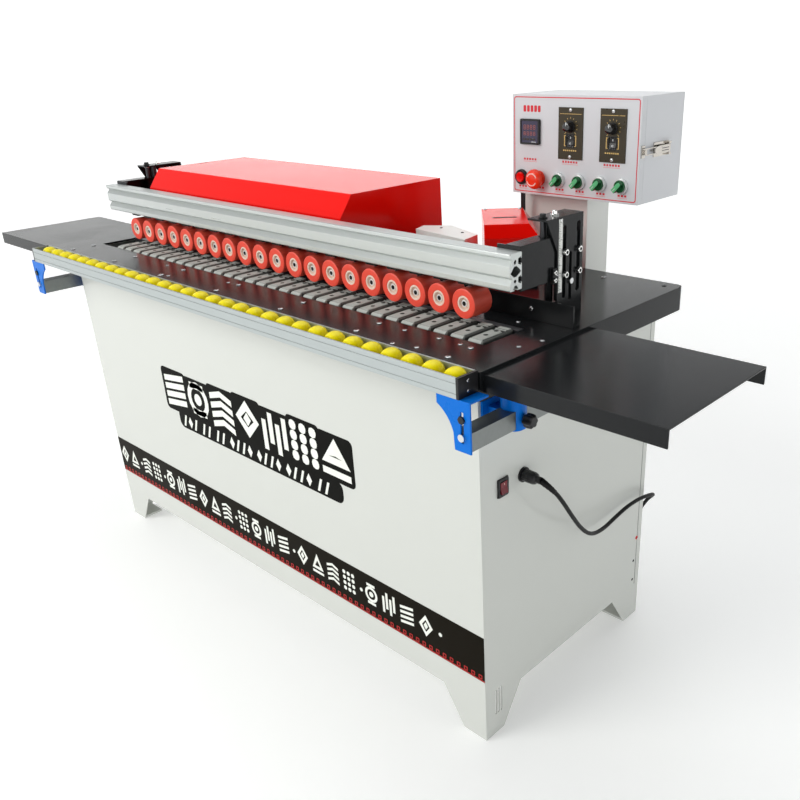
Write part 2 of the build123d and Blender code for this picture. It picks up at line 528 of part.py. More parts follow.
def control_door():
    x0, x1, y0, y1 = BOX_X, BOX_X + BOX_W, BOX_Y, BOX_Y + DOOR_D
    z0, z1 = BOX_Z, BOX_Z + BOX_H
    door = slab(x0, x1, y0, y1, z0, z1) - slab(x0 + 2, x1 - 2, y0 + 2, y1 + 1, z0 + 2, z1 - 2)
    for z in (z0 + 22, z0 + 152):
        door += rod_z(z, z + 15, HINGE_PIN_X, HINGE_PIN_Y, 4)
        door += slab(HINGE_PIN_X, x0 + 1, y1 - 4, y1, z, z + 15)
        door -= rod_z(z - 20, z + 16, HINGE_PIN_X, HINGE_PIN_Y, 1.5 + RUNNING)
    door += slab(x1, x1 + 2, y0 + 3, y1 - 1, z0 + 84, z0 + 106)
    door += slab(x1 + 1, x1 + 5.5, y0 + 8, y0 + 12, z0 + 91.5, z0 + 98.5)
    parts = []
    thermostat = slab(x0 + 23, x0 + 71, y0 - 4, y0, z0 + 97, z0 + 145)
    parts.append(fillet(thermostat.edges().filter_by(Axis.Y), 2))
    parts.append(slab(x0 + 26, x0 + 68, y0 + 2, y0 + 60, z0 + 100, z0 + 142))
    for i in range(2):
        x = DIAL_FIRST + DIAL_PITCH * i
        face = slab(x - 28.5, x + 28.5, y0 - 2, y0, z0 + 73.5, z0 + 168.5)
        face -= rod_y(y0 - 3, y0 + 1, x, z0 + 134, 3 + RUNNING)
        face -= slab(x - 8, x + 8, y0 - 3, y0 + 1, z0 + 97.5, z0 + 118.5)
        case = slab(x - 25, x + 25, y0 + 2, y0 + 45, z0 + 78, z0 + 164)
        case -= rod_y(y0 + 1, y0 + 12, x, z0 + 134, 3 + RUNNING)
        case -= slab(x - 8, x + 8, y0 + 1, y0 + 14, z0 + 97.5, z0 + 118.5)
        door -= rod_y(y0 - 1, y0 + 3, x, z0 + 134, 5)
        door -= slab(x - 9, x + 9, y0 - 1, y0 + 3, z0 + 96.5, z0 + 119.5)
        parts += [face, case]
    for i in range(SELECTORS):
        x = SELECTOR_FIRST + SELECTOR_PITCH * i
        door -= rod_y(y0 - 1, y0 + 3, x, BUTTON_Z, 11)
        ring = rod_y(y0 - 5, y0, x, BUTTON_Z, 14.5) + rod_y(y0 - 1, y0 + 30, x, BUTTON_Z, 11)
        parts.append(ring - rod_y(y0 - 6, y0 + 12, x, BUTTON_Z, 4 + RUNNING))
    for x in (x0 + 24, x0 + 68):
        door -= rod_y(y0 - 1, y0 + 3, x, BUTTON_Z, 11)
        ring = rod_y(y0 - 5, y0, x, BUTTON_Z, 14.5) + rod_y(y0 - 1, y0 + 30, x, BUTTON_Z, 11)
        ring -= rod_y(y0 - 6, y0 + 20, x, BUTTON_Z, 4 + RUNNING)
        ring -= rod_y(y0 - 6, y0 + 6, x, BUTTON_Z, 10.5)
        parts.append(ring)
    return [door] + parts


def speed_knob(i):
    x, z = DIAL_FIRST + DIAL_PITCH * i, BOX_Z + 134
    knob = rod_y(BOX_Y - 18, BOX_Y - 2.4, x, z, 11) + rod_y(BOX_Y - 3, BOX_Y + 10, x, z, 3)
    knob -= slab(x - 0.8, x + 0.8, BOX_Y - 19, BOX_Y - 17.2, z + 2, z + 12)
    return knob


def speed_rocker(i):
    x, z = DIAL_FIRST + DIAL_PITCH * i, BOX_Z + 108
    key = prism_x([(-3.6, -8.8), (-2.4, 0), (-3.6, 8.8), (4, 5), (4, -5)], -7, 7) + rod_x(-7.6, 7.6, 0, 0, 1.5)
    return Pos(x, BOX_Y + 2, z) * Rot(-8, 0, 0) * key


def stop_button():
    x = BOX_X + 24
    return rod_y(BOX_Y - 9, BOX_Y - 1, x, BUTTON_Z, 10) + rod_y(BOX_Y - 2, BOX_Y + 10, x, BUTTON_Z, 4)


def estop_button():
    x = BOX_X + 68
    head = rod_y(BOX_Y - 26, BOX_Y - 12, x, BUTTON_Z, 19.5)
    head = fillet(head.edges().filter_by(GeomType.CIRCLE).sort_by(Axis.Y)[0], 8)
    return head + rod_y(BOX_Y - 13, BOX_Y - 6, x, BUTTON_Z, 10) + rod_y(BOX_Y - 7, BOX_Y + 10, x, BUTTON_Z, 4)


def selector(i):
    x = SELECTOR_FIRST + SELECTOR_PITCH * i
    drum = rod_y(BOX_Y - 9, BOX_Y - 5.3, 0, 0, 11.5)
    grip = slab(-4, 4, BOX_Y - 19, BOX_Y - 8, -12.5, 11)
    stem = rod_y(BOX_Y - 6, BOX_Y + 10, 0, 0, 4)
    return Pos(x, 0, BUTTON_Z) * Rot(0, 45, 0) * (drum + grip + stem)


def power_inlet():
    x = CABINET_HALF
    y, z = INLET_Y, INLET_Z
    body = rod_x(x, x + 3, y, z, 14) + slab(x - 22, x + 1, y - 10, y + 10, z - 7.5, z + 7.5)
    body -= slab(x - 16, x + 4, y - 8.7, y + 8.7, z - 6.2, z + 6.2)
    for dy in (-5, 0, 5):
        body += slab(x - 17, x - 3, y + dy - 1, y + dy + 1, z - 3, z + 3)
    y, z = SWITCH_Y, SWITCH_Z
    frame = slab(x, x + 3, y - 13, y + 13, z - 17, z + 17) + slab(x - 24, x + 1, y - 10, y + 10, z - 13.5, z + 13.5)
    frame -= slab(x - 14, x + 4, y - 8.6, y + 8.6, z - 12, z + 12)
    return [body, frame]


def cabinet_switch():
    key = prism_y([(-4, -7), (-4, 7), (4, 11), (2.6, 0), (4, -11)], -8, 8) + rod_y(-8.3, 8.3, 0, 0, 1.5)
    return Pos(CABINET_HALF + 2, SWITCH_Y, SWITCH_Z) * Rot(0, -6, 0) * key


# ---- mains lead ----
def mains_cord():
    points = [Vector(*p) for p in CORD_ROUTE]
    radii = []
    for a, b, c in zip(points, points[1:], points[2:]):
        turn = math.radians((b - a).get_angle(c - b))
        shorter = min((b - a).length, (c - b).length)
        radii.append(0.45 * shorter / math.tan(turn / 2))
    path = FilletPolyline(*points, radius=radii)
    start = Plane(origin=points[0], z_dir=points[1] - points[0])
    tube = sweep(start * Circle(CORD_R), path=path)
    print("cord radii", [round(r) for r in radii], "length", round(path.length))
    print("tube volume over section x length", round(tube.volume / (math.pi * CORD_R ** 2 * path.length), 3))
    return tube


def cord_coil():
    outer, inner = COIL_MEAN_R + 8, COIL_MEAN_R - 8
    ring = rod_z(0, 24, COIL_X, COIL_Y, outer) - rod_z(-1, 25, COIL_X, COIL_Y, inner)
    return fillet(ring.edges().filter_by(GeomType.CIRCLE), 3.5)


def cord_plugs():
    x = CABINET_HALF
    y, z = INLET_Y, INLET_Z
    connector = slab(x - 2.8, x + 28, y - 8.2, y + 8.2, z - 5.7, z + 5.7)
    connector += rod_x(x + 3.2, x + 30, y, z, 11.5)
    connector = connector + rod_x(x + 29, x + 40, y, z, 6.5)
    px, py = COIL_X - 76, COIL_Y + 48
    plug = slab(px - 16, px + 16, py - 18, py + 18, 0, 26)
    plug = fillet(plug.edges().filter_by(Axis.Z), 8)
    for dy in (-8, 8):
        plug += rod_x(px - 34, px - 14, py + dy, 13, 2.4)
    return [connector, plug]


# ---- writing ----
def all_parts():
    parts = {
        "cabinet_shell": cabinet_shell(), "table_top": table_top(), "extension_tables": extension_tables(),
        "guide_fence": guide_fence(), "lift_columns": lift_columns(), "control_post": control_post(),
        "control_box": control_box(), "power_inlet": power_inlet(), "arm_sleeves": arm_sleeves(),
        "conveyor_drive": conveyor_drive(), "work_units": work_units(), "fasteners": fasteners(),
        "beam": beam(), "beam_brackets": beam_brackets(), "conveyor_pads": conveyor_pads(),
        "front_rail": front_rail(), "rail_wheels": rail_wheels(), "rail_arms": rail_arms(),
        "main_hood": main_hood(), "small_hood": small_hood(), "control_door": control_door(),
        "stop_button": stop_button(), "estop_button": estop_button(), "door_latch": door_latch(),
        "cabinet_switch": cabinet_switch(), "mains_cord": mains_cord(), "cord_coil": cord_coil(),
        "cord_plugs": cord_plugs(),
    }
    for i in range(ROLLER_COUNT):
        parts[f"roller_{i + 1:02d}"] = roller(i)
    for i, side in enumerate(("left", "right")):
        parts[f"speed_knob_{side}"] = speed_knob(i)
        parts[f"speed_rocker_{side}"] = speed_rocker(i)
    for i in range(SELECTORS):
        parts[f"selector_{i + 1}"] = selector(i)
    screw, knob = lift_screw(), star_knob()
    parts.update({"lift_screw_right": screw, "lift_screw_left": other_side(screw, BEAM_MIDDLE)})
    parts.update({"star_knob_right": knob, "star_knob_left": other_side(knob)})
    return parts


CORD_NODES = ("mains_cord", "cord_coil", "cord_plugs")


def as_shape(part):
    if isinstance(part, list):
        return Compound(children=[solid for piece in part for solid in piece.solids()])
    return part


def footprint_shift(parts):
    """The move that puts the middle of everything but the lead over the origin."""
    boxes = [as_shape(part).bounding_box() for name, part in parts.items() if name not in CORD_NODES]
    mid_x = (min(b.min.X for b in boxes) + max(b.max.X for b in boxes)) / 2
    mid_y = (min(b.min.Y for b in boxes) + max(b.max.Y for b in boxes)) / 2
    return -mid_x, -mid_y


def main():
    os.makedirs("parts", exist_ok=True)
    parts = all_parts()
    dx, dy = footprint_shift(parts)
    print("shift", round(dx, 3), round(dy, 3))
    for name, part in parts.items():
        export_step(Pos(dx, dy, 0) * as_shape(part), f"parts/{name}.step")


if __name__ == "__main__":
    main()
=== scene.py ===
import math
import bpy
import bmesh
from mathutils import Matrix, Vector


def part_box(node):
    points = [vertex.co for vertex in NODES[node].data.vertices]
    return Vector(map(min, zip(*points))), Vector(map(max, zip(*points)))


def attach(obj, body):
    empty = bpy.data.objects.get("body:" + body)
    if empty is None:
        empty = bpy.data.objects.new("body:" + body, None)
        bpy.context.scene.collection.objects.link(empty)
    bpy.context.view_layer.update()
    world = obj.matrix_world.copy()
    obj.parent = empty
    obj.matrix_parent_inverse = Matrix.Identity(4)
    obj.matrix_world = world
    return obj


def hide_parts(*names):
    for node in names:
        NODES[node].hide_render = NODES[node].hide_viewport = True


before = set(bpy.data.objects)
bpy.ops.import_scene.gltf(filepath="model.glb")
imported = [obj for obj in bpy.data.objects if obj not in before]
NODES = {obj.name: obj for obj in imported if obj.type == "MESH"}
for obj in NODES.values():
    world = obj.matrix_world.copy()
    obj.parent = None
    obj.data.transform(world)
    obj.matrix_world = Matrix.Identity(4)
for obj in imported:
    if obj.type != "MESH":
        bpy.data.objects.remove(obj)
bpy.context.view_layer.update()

# Lengths in this script are millimetres of the machine's own frame; place() turns them into the
# row frame in metres. The machine's middle is measured from the imported nodes.
low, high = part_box("cabinet_shell")
MID_X, MID_Y = (low[0] + high[0]) / 2, (low[1] + high[1]) / 2


def place(x, y, z):
    return Vector((MID_X + x / 1000, MID_Y + y / 1000, z / 1000))


# ---- camera ----
def add_camera():
    az, el, roll = math.radians(42.7946), math.radians(25.1050), math.radians(-1.7526)
    ahead = Vector((-math.sin(az) * math.cos(el), math.cos(az) * math.cos(el), -math.sin(el)))
    side = Vector((math.cos(az), math.sin(az), 0))
    top = side.cross(ahead)
    right = side * math.cos(roll) + top * math.sin(roll)
    up = top * math.cos(roll) - side * math.sin(roll)
    cam = bpy.data.objects.new("camera", bpy.data.cameras.new("camera"))
    cam.matrix_world = Matrix((right, up, -ahead)).transposed().to_4x4()
    cam.matrix_world.translation = (1.48866, -1.16468, 1.20197)
    cam.data.sensor_width, cam.data.lens = 36, 37.521
    cam.data.shift_x, cam.data.shift_y = -0.08837, 0.04273
    cam.data.clip_end = 100
    bpy.context.scene.collection.objects.link(cam)
    bpy.context.scene.camera = cam


# ---- materials ----
def material(name, color, rough, metal=0.0, coat=0.0, vary=0.06, scale=9.0, grain=1400.0, depth=0.03,
             edge=0.6, stretch=(1, 1, 1), specular=0.5, shine=0.22):
    """Paint, metal or plastic: broad colour and gloss variation, a fine surface, softened edges."""
    mat = bpy.data.materials.new(name)
    mat.use_nodes = True
    tree = mat.node_tree
    shader = tree.nodes["Principled BSDF"]
    shader.inputs["Metallic"].default_value = metal
    shader.inputs["Coat Weight"].default_value = coat
    shader.inputs["Coat Roughness"].default_value = 0.06
    shader.inputs["Specular IOR Level"].default_value = specular

    def node(kind, **values):
        made = tree.nodes.new("ShaderNode" + kind)
        for key, value in values.items():
            made.inputs[key.replace("_", " ")].default_value = value
        return made

    def wire(a, out, b, into):
        tree.links.new(a.outputs[out], b.inputs[into])

    coords = node("TexCoord")
    lie = node("Mapping", Scale=stretch)
    wire(coords, "Object", lie, "Vector")
    broad = node("TexNoise", Scale=scale, Detail=5.0, Roughness=0.6)
    wire(lie, "Vector", broad, "Vector")
    tint = node("Mix")
    tint.data_type = "RGBA"
    tint.inputs[6].default_value = tuple(min(1, c * (1 - vary)) for c in color) + (1,)
    tint.inputs[7].default_value = tuple(min(1, c * (1 + vary)) for c in color) + (1,)
    wire(broad, "Fac", tint, "Factor")
    tree.links.new(tint.outputs[2], shader.inputs["Base Color"])
    gloss = node("MapRange", From_Min=0.3, From_Max=0.7, To_Min=rough * (1 - shine),
                 To_Max=rough * (1 + shine))
    wire(broad, "Fac", gloss, "Value")
    wire(gloss, "Result", shader, "Roughness")
    fine = node("TexNoise", Scale=grain, Detail=2.0)
    wire(lie, "Vector", fine, "Vector")
    relief = node("Bump", Strength=depth, Distance=0.001)
    wire(fine, "Fac", relief, "Height")
    if edge:
        soft = node("Bevel", Radius=edge / 1000)
        soft.samples = 4
        wire(soft, "Normal", relief, "Normal")
    wire(relief, "Normal", shader, "Normal")
    return mat


def palette():
    sheet = dict(grain=700.0, depth=0.015, scale=3.0, specular=0.35, shine=0.03)
    flat = dict(edge=0.0, specular=0.12)
    made = {}

    def add(name, *values, **more):
        made[name] = material(name, *values, **more)

    add("white_paint", (0.62, 0.635, 0.60), 0.24, vary=0.01, **sheet)
    # Cabinet white made a little lighter: painted light that offsets the shade the control box casts on the
    # post; the cabinet's inside takes it too.
    add("lightened_white_paint", (0.66, 0.67, 0.64), 0.3, vary=0.01, **sheet)
    add("box_paint", (0.63, 0.64, 0.665), 0.3, vary=0.01, **sheet)
    add("black_paint", (0.010, 0.011, 0.012), 0.2, vary=0.25, edge=1.6, specular=0.2, grain=900.0,
        depth=0.05, scale=4.0)
    add("red_paint", (0.95, 0.005, 0.002), 0.15, vary=0.03, edge=1.2, specular=0.16, grain=500.0,
        depth=0.015, scale=4.0)
    add("blue_paint", (0.0, 0.15, 0.62), 0.3, vary=0.05, edge=0.8, specular=0.12)
    add("cream_paint", (0.86, 0.88, 0.85), 0.4, vary=0.03, edge=1.2)
    add("anodised", (0.60, 0.63, 0.62), 0.34, metal=0.7, vary=0.05, edge=0.7, scale=60.0, grain=2500.0,
        depth=0.04, stretch=(0.02, 1, 1))
    # A darker copy of the anodised finish for the beam's front faces: painted shade.
    add("shaded_lip", (0.50, 0.53, 0.52), 0.36, metal=0.7, vary=0.06, edge=0.5, stretch=(0.02, 1, 1))
    # Dark metal for the recessed faces in the beam's and rail's channels: painted shade.
    add("groove_shade", (0.26, 0.28, 0.28), 0.5, metal=0.6, vary=0.1, edge=0.4, stretch=(0.02, 1, 1))
    add("rail_metal", (0.44, 0.48, 0.48), 0.4, metal=0.6, vary=0.08, edge=0.6, scale=60.0, grain=2500.0,
        depth=0.05, stretch=(0.02, 1, 1))
    add("galvanised", (0.22, 0.235, 0.23), 0.42, metal=0.8, vary=0.22, scale=90.0, grain=600.0, depth=0.1)
    add("steel", (0.62, 0.63, 0.64), 0.25, metal=1.0, vary=0.1, scale=80.0, edge=0.3)
    add("chrome", (0.82, 0.82, 0.80), 0.09, metal=1.0, vary=0.03, edge=0.25)
    add("nickel", (0.50, 0.47, 0.43), 0.17, metal=1.0, vary=0.08, scale=50.0, edge=0.4)
    add("dark_steel", (0.06, 0.06, 0.065), 0.35, metal=0.7, vary=0.3, scale=60.0)
    add("black_plastic", (0.010, 0.010, 0.011), 0.36, vary=0.15, depth=0.06, edge=0.4, specular=0.35)
    add("black_gloss", (0.008, 0.008, 0.009), 0.1, vary=0.1, edge=0.5, coat=0.6)
    # Near black: painted shade in holes, hex recesses and slots; on the rule it is the ink of the ticks.
    add("hole_shade_and_ink", (0.012, 0.012, 0.012), 0.7, vary=0.2, **flat)
    add("rubber", (0.010, 0.010, 0.010), 0.45, vary=0.2, grain=1800.0, depth=0.1, **flat)
    add("roller_face", (0.93, 0.085, 0.05), 0.4, vary=0.07, scale=40.0, depth=0.08, edge=0.5)
    add("roller_tread", (0.64, 0.070, 0.040), 0.5, vary=0.3, scale=70.0, grain=500.0, depth=0.3, edge=0.8,
        stretch=(1, 0.25, 1))
    add("roller_hub", (0.92, 0.72, 0.60), 0.4, vary=0.06, scale=50.0, edge=0.5)
    add("bearing", (0.84, 0.80, 0.79), 0.4, metal=0.1, vary=0.06, scale=60.0, edge=0.3)
    add("yellow", (0.95, 0.80, 0.0), 0.3, vary=0.06, scale=40.0, specular=0.35, depth=0.04, edge=0.5)
    add("yellow_hub", (0.72, 0.47, 0.0), 0.4, vary=0.08, scale=40.0, edge=0.4)
    # Dark grey for the pads' sides and the gaps between their ribs: painted shade on the same rubber.
    add("pad_shade", (0.13, 0.135, 0.125), 0.7, vary=0.2, scale=60.0, depth=0.25, edge=0.5)
    add("pad_rubber", (0.46, 0.48, 0.45), 0.6, vary=0.16, scale=60.0, grain=900.0, depth=0.25, edge=0.6)
    # Near black discs and bars that stand for the shade in the pads' holes and wide grooves: painted shade.
    add("pad_recess_shade", (0.05, 0.055, 0.05), 0.8, vary=0.2, **flat)
    add("red_plastic", (0.80, 0.004, 0.003), 0.18, vary=0.05, specular=0.4, edge=0.4)
    add("orange_plastic", (0.88, 0.040, 0.012), 0.22, vary=0.05, specular=0.4, edge=0.4)
    add("pale_print", (0.95, 0.62, 0.55), 0.4, vary=0.04, **flat)
    add("green_plastic", (0.008, 0.10, 0.030), 0.22, vary=0.06, specular=0.4, edge=0.4)
    add("green_light", (0.09, 0.46, 0.19), 0.3, vary=0.06, edge=0.4)
    add("bezel", (0.74, 0.76, 0.76), 0.2, vary=0.04, metal=0.3, coat=0.4, edge=0.4)
    add("plate", (0.040, 0.030, 0.014), 0.33, vary=0.14, scale=40.0, edge=0.4, specular=0.3)
    add("dark_red", (0.16, 0.006, 0.014), 0.25, vary=0.08, edge=0.4, specular=0.4)
    add("gold_print", (0.62, 0.42, 0.16), 0.3, metal=0.6, vary=0.08, **flat)
    add("glass", (0.030, 0.022, 0.062), 0.08, vary=0.2, coat=0.8, scale=40.0, **flat)
    add("digit", (0.36, 0.115, 0.10), 0.3, vary=0.1, **flat)
    add("red_print", (0.66, 0.045, 0.06), 0.4, vary=0.06, **flat)
    add("faint_print", (0.80, 0.30, 0.32), 0.4, vary=0.06, **flat)
    add("black_print", (0.005, 0.005, 0.004), 0.4, vary=0.2, edge=0.0, specular=0.03)
    add("banner", (0.008, 0.006, 0.003), 0.4, vary=0.2, scale=6.0, edge=0.0, specular=0.03)
    add("white_print", (0.84, 0.86, 0.80), 0.3, vary=0.03, **flat)
    add("key_print", (0.46, 0.02, 0.018), 0.4, vary=0.1, **flat)
    add("seam", (0.20, 0.21, 0.20), 0.6, vary=0.1, **flat)
    add("rule", (0.70, 0.71, 0.68), 0.3, metal=0.5, vary=0.06, scale=60.0, edge=0.3)
    return made


# ---- building ----
def spread(axis, along, p, q):
    return {"x": (along, p, q), "y": (p, along, q), "z": (p, q, along)}[axis]


def rounded(x0, x1, z0, z1, r, steps=4):
    """The outline of a rectangle with round corners."""
    corners = ((x1 - r, z1 - r, 0), (x0 + r, z1 - r, 90), (x0 + r, z0 + r, 180), (x1 - r, z0 + r, 270))
    turns = [(cx, cz, math.radians(start + 90 * i / steps)) for cx, cz, start in corners
             for i in range(steps + 1)]
    return [(cx + r * math.cos(a), cz + r * math.sin(a)) for cx, cz, a in turns]


class Form:
    """One object gathered from closed shells, each with its own material."""

    def __init__(self):
        self.bm = bmesh.new()
        self.mats = []
        self.turn = Matrix.Identity(4)

    def shell(self, points, faces, mat):
        if mat not in self.mats:
            self.mats.append(mat)
        made = [self.bm.verts.new(place(*(self.turn @ Vector(p)))) for p in points]
        for face in faces:
            new = self.bm.faces.new([made[k] for k in face])
            new.material_index = self.mats.index(mat)
            new.smooth = True

    def block(self, x0, x1, y0, y1, z0, z1, mat):
        points = [(x, y, z) for x in (x0, x1) for y in (y0, y1) for z in (z0, z1)]
        faces = ((0, 1, 3, 2), (4, 6, 7, 5), (0, 4, 5, 1), (2, 3, 7, 6), (0, 2, 6, 4), (1, 5, 7, 3))
        self.shell(points, faces, mat)

    def prism(self, axis, outline, a0, a1, mat):
        n = len(outline)
        points = [spread(axis, a, p, q) for a in (a0, a1) for p, q in outline]
        faces = [tuple(range(n)), tuple(range(2 * n - 1, n - 1, -1))]
        faces += [(i, (i + 1) % n, n + (i + 1) % n, n + i) for i in range(n)]
        self.shell(points, faces, mat)

    def band(self, axis, outer, inner, a0, a1, mat):
        """A flat ring between two outlines with the same number of points."""
        n = len(outer)
        points = [spread(axis, a, p, q) for a in (a0, a1) for line in (outer, inner) for p, q in line]
        faces = []
        for i in range(n):
            j = (i + 1) % n
            faces += [(i, j, n + j, n + i), (2 * n + i, 3 * n + i, 3 * n + j, 2 * n + j)]
            faces += [(i, 2 * n + i, 2 * n + j, j), (n + i, n + j, 3 * n + j, 3 * n + i)]
        self.shell(points, faces, mat)

    def lathe(self, axis, p, q, profile, mat, segments=28, lobes=0, depth=0.0):
        """A closed solid of revolution; profile is (radius, place along the axis), ends at radius 0."""
        points, faces, rings = [], [], []
        for r, along in profile:
            start = len(points)
            if r == 0:
                points.append(spread(axis, along, p, q))
                rings.append([start] * segments)
                continue
            for k in range(segments):
                a = math.tau * k / segments
                reach = r * (1 - depth * (0.5 - 0.5 * math.cos(lobes * a))) if lobes else r
                points.append(spread(axis, along, p + reach * math.cos(a), q + reach * math.sin(a)))
            rings.append(list(range(start, start + segments)))
        for one, two in zip(rings, rings[1:]):
            for k in range(segments):
                j = (k + 1) % segments
                corners = [one[k], one[j], two[j], two[k]]
                corners = [c for i, c in enumerate(corners) if c not in corners[:i]]
                if len(corners) > 2:
                    faces.append(tuple(corners))
        self.shell(points, faces, mat)

    def disc(self, axis, p, q, a0, a1, r, mat, segments=20):
        self.lathe(axis, p, q, [(0, a0), (r, a0), (r, a1), (0, a1)], mat, segments)

    def screw(self, axis, p, q, seat, out, r, head="steel", hole="hole_shade_and_ink"):
        """A domed head standing `out` from `seat`, with its hex recess drawn as a dark hexagon of painted
        shade.
        """
        rise = [(0, seat), (r, seat), (r, seat + out * 0.45), (r * 0.86, seat + out * 0.85),
                (r * 0.6, seat + out)]
        self.lathe(axis, p, q, rise + [(0, seat + out)], MATS[head], 20)
        tip = seat + out
        self.lathe(axis, p, q, [(0, tip - out * 0.1), (r * 0.45, tip - out * 0.1),
                                (r * 0.45, tip + out * 0.03), (0, tip + out * 0.03)], MATS[hole], 6)

    def done(self, name, body, finish_slot, hides=(), bevel=0.0):
        bmesh.ops.recalc_face_normals(self.bm, faces=self.bm.faces)
        mesh = bpy.data.meshes.new(name)
        self.bm.to_mesh(mesh)
        self.bm.free()
        for mat in self.mats:
            mesh.materials.append(mat)
        mesh.set_sharp_from_angle(angle=math.radians(35))
        return settle(bpy.data.objects.new(name, mesh), body, hides, bevel)


def settle(obj, body, hides=(), bevel=0.0, at=(0, 0, 0)):
    bpy.context.scene.collection.objects.link(obj)
    obj.location = at
    if bevel:
        soft = obj.modifiers.new("soft_edge", "BEVEL")
        soft.width, soft.segments, soft.limit_method = bevel / 1000, 2, "ANGLE"
        soft.angle_limit = math.radians(40)
        soft.use_clamp_overlap = True
    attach(obj, body)
    if hides:
        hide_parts(*hides)
    return obj


def paint(node, base, *rules):
    """Gives a CAD node its materials; a rule is (test of face middle and normal, material)."""
    mesh = NODES[node].data
    mesh.materials.clear()
    mesh.materials.append(base)
    for _, mat in rules:
        mesh.materials.append(mat)
    for face in mesh.polygons:
        c, n = face.center, face.normal
        x, y, z = (c.x - MID_X) * 1000, (c.y - MID_Y) * 1000, c.z * 1000
        face.material_index = next((i + 1 for i, rule in enumerate(rules) if rule[0](x, y, z, n)), 0)


# ---- mains lead ----
ROUTE = [
    (716, -152, 528), (731, -149, 520), (737, -128, 494), (735, -92, 444), (727, -46, 388),
    (717, 4, 346), (708, 58, 330), (701, 106, 328), (697, 156, 330), (696, 206, 328),
    (697, 250, 320), (690, 286, 304), (664, 299, 276), (642, 295, 228), (634, 290, 172),
    (632, 290, 116), (629, 297, 64), (620, 307, 22), (606, 326, 5),
]
CORD_R = 0.004
RELIEF_LENGTH = 0.034
COIL_X, COIL_Y = 548, 330
TURNS = [(0, 48, 4.2), (300, 48, 4.2), (360, 39.8, 4.2), (600, 39.8, 4.2), (660, 39.8, 12.4),
         (900, 39.8, 12.4), (960, 48, 12.4), (1200, 48, 12.4), (1260, 48, 20.6), (1500, 48, 20.6)]


def coil_points():
    points = []
    for k in range(84):
        angle = 18 * k
        if angle > TURNS[-1][0]:
            break
        for (a0, r0, z0), (a1, r1, z1) in zip(TURNS, TURNS[1:]):
            if a0 <= angle <= a1:
                t = (angle - a0) / (a1 - a0)
                t = t * t * (3 - 2 * t)
                r, z = r0 + (r1 - r0) * t, z0 + (z1 - z0) * t
        a = math.radians(30 + angle)
        points.append((COIL_X + 1.012 * r * math.cos(a), COIL_Y + 1.012 * r * math.sin(a), z))
    return points


def add_cord():
    curve = bpy.data.curves.new("mains_lead", "CURVE")
    curve.dimensions = "3D"
    spline = curve.splines.new("NURBS")
    points = ROUTE + coil_points() + [(530, 378.5, 19.5), (512, 378.5, 16), (500, 378, 14), (487, 378, 13)]
    spline.points.add(len(points) - 1)
    for knot, point in zip(spline.points, points):
        knot.co = (*place(*point), 1)
    spline.order_u = 3
    spline.use_endpoint_u = True
    curve.resolution_u = 8
    lead = bpy.data.objects.new("mains_lead", curve)
    lead.data.materials.append(MATS["rubber"])
    bpy.context.scene.collection.objects.link(lead)
    bpy.context.view_layer.update()
    line = bpy.data.meshes.new_from_object(lead.evaluated_get(bpy.context.evaluated_depsgraph_get()))
    path = [v.co.copy() for v in line.vertices]
    bpy.data.meshes.remove(line)
    curve.bevel_depth = CORD_R
    curve.bevel_resolution = 5
    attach(lead, "machine")
    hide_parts("mains_cord", "cord_coil")
    ends = add_cord_ends()
    relief = add_strain_relief(path)


def add_strain_relief(path):
    """A ribbed sleeve that tapers down to the lead."""
    bm = bmesh.new()
    gone, rings = 0.0, []
    for here, after in zip(path, path[1:]):
        if gone > RELIEF_LENGTH:
            break
        ahead = (after - here).normalized()
        side = ahead.cross(Vector((0, 0, 1))).normalized()
        up = side.cross(ahead)
        rib = 0.0004 if len(rings) % 2 else 0.0
        r = 0.0064 - 0.0019 * gone / RELIEF_LENGTH - rib
        angles = [math.tau * k / 20 for k in range(20)]
        rings.append([bm.verts.new(here + side * r * math.cos(a) + up * r * math.sin(a)) for a in angles])
        gone += (after - here).length
    for one, two in zip(rings, rings[1:]):
        for k in range(20):
            bm.faces.new((one[k], one[(k + 1) % 20], two[(k + 1) % 20], two[k])).smooth = True
    bm.faces.new(rings[0])
    bm.faces.new(rings[-1])
    bmesh.ops.recalc_face_normals(bm, faces=bm.faces)
    mesh = bpy.data.meshes.new("strain_relief")
    bm.to_mesh(mesh)
    bm.free()
    mesh.materials.append(MATS["rubber"])
    return settle(bpy.data.objects.new("strain_relief", mesh), "machine")


def add_cord_ends():
    black = MATS["black_plastic"]
    plug = Form()
    x, y, z = 676, -152, 528
    plug.prism("x", rounded(y - 8.2, y + 8.2, z - 5.7, z + 5.7, 1.5), x - 2.8, x + 5, black)
    shape = [(0, x + 3.2), (11.5, x + 3.2), (11.5, x + 14), (10.8, x + 14.6), (11.4, x + 15.2),
             (11.3, x + 24), (9.6, x + 29), (6.6, x + 31), (6.4, x + 40), (0, x + 40)]
    plug.lathe("x", y, z, shape, black, 48, lobes=16, depth=0.05)
    connector = plug.done("lead_connector", "machine", "black_plastic", ("cord_plugs",), bevel=0.4)
    px, py = 472, 378
    plug = Form()
    plug.prism("x", rounded(py - 18, py + 18, 0, 26, 7), px - 16, px - 4, black)
    plug.prism("x", rounded(py - 15, py + 15, 2, 24, 8), px - 4.1, px + 8, black)
    plug.lathe("x", py, 13, [(0, px + 7.8), (8, px + 7.8), (6, px + 16), (0, px + 16)], black)
    for dy in (-8, 8):
        plug.lathe("x", py + dy, 13, [(0, px - 34), (1.6, px - 34), (2.4, px - 32), (2.4, px - 15),
                                      (0, px - 15)], MATS["steel"], 16)
    return [connector, plug.done("lead_plug", "machine", "black_plastic", bevel=0.4)]


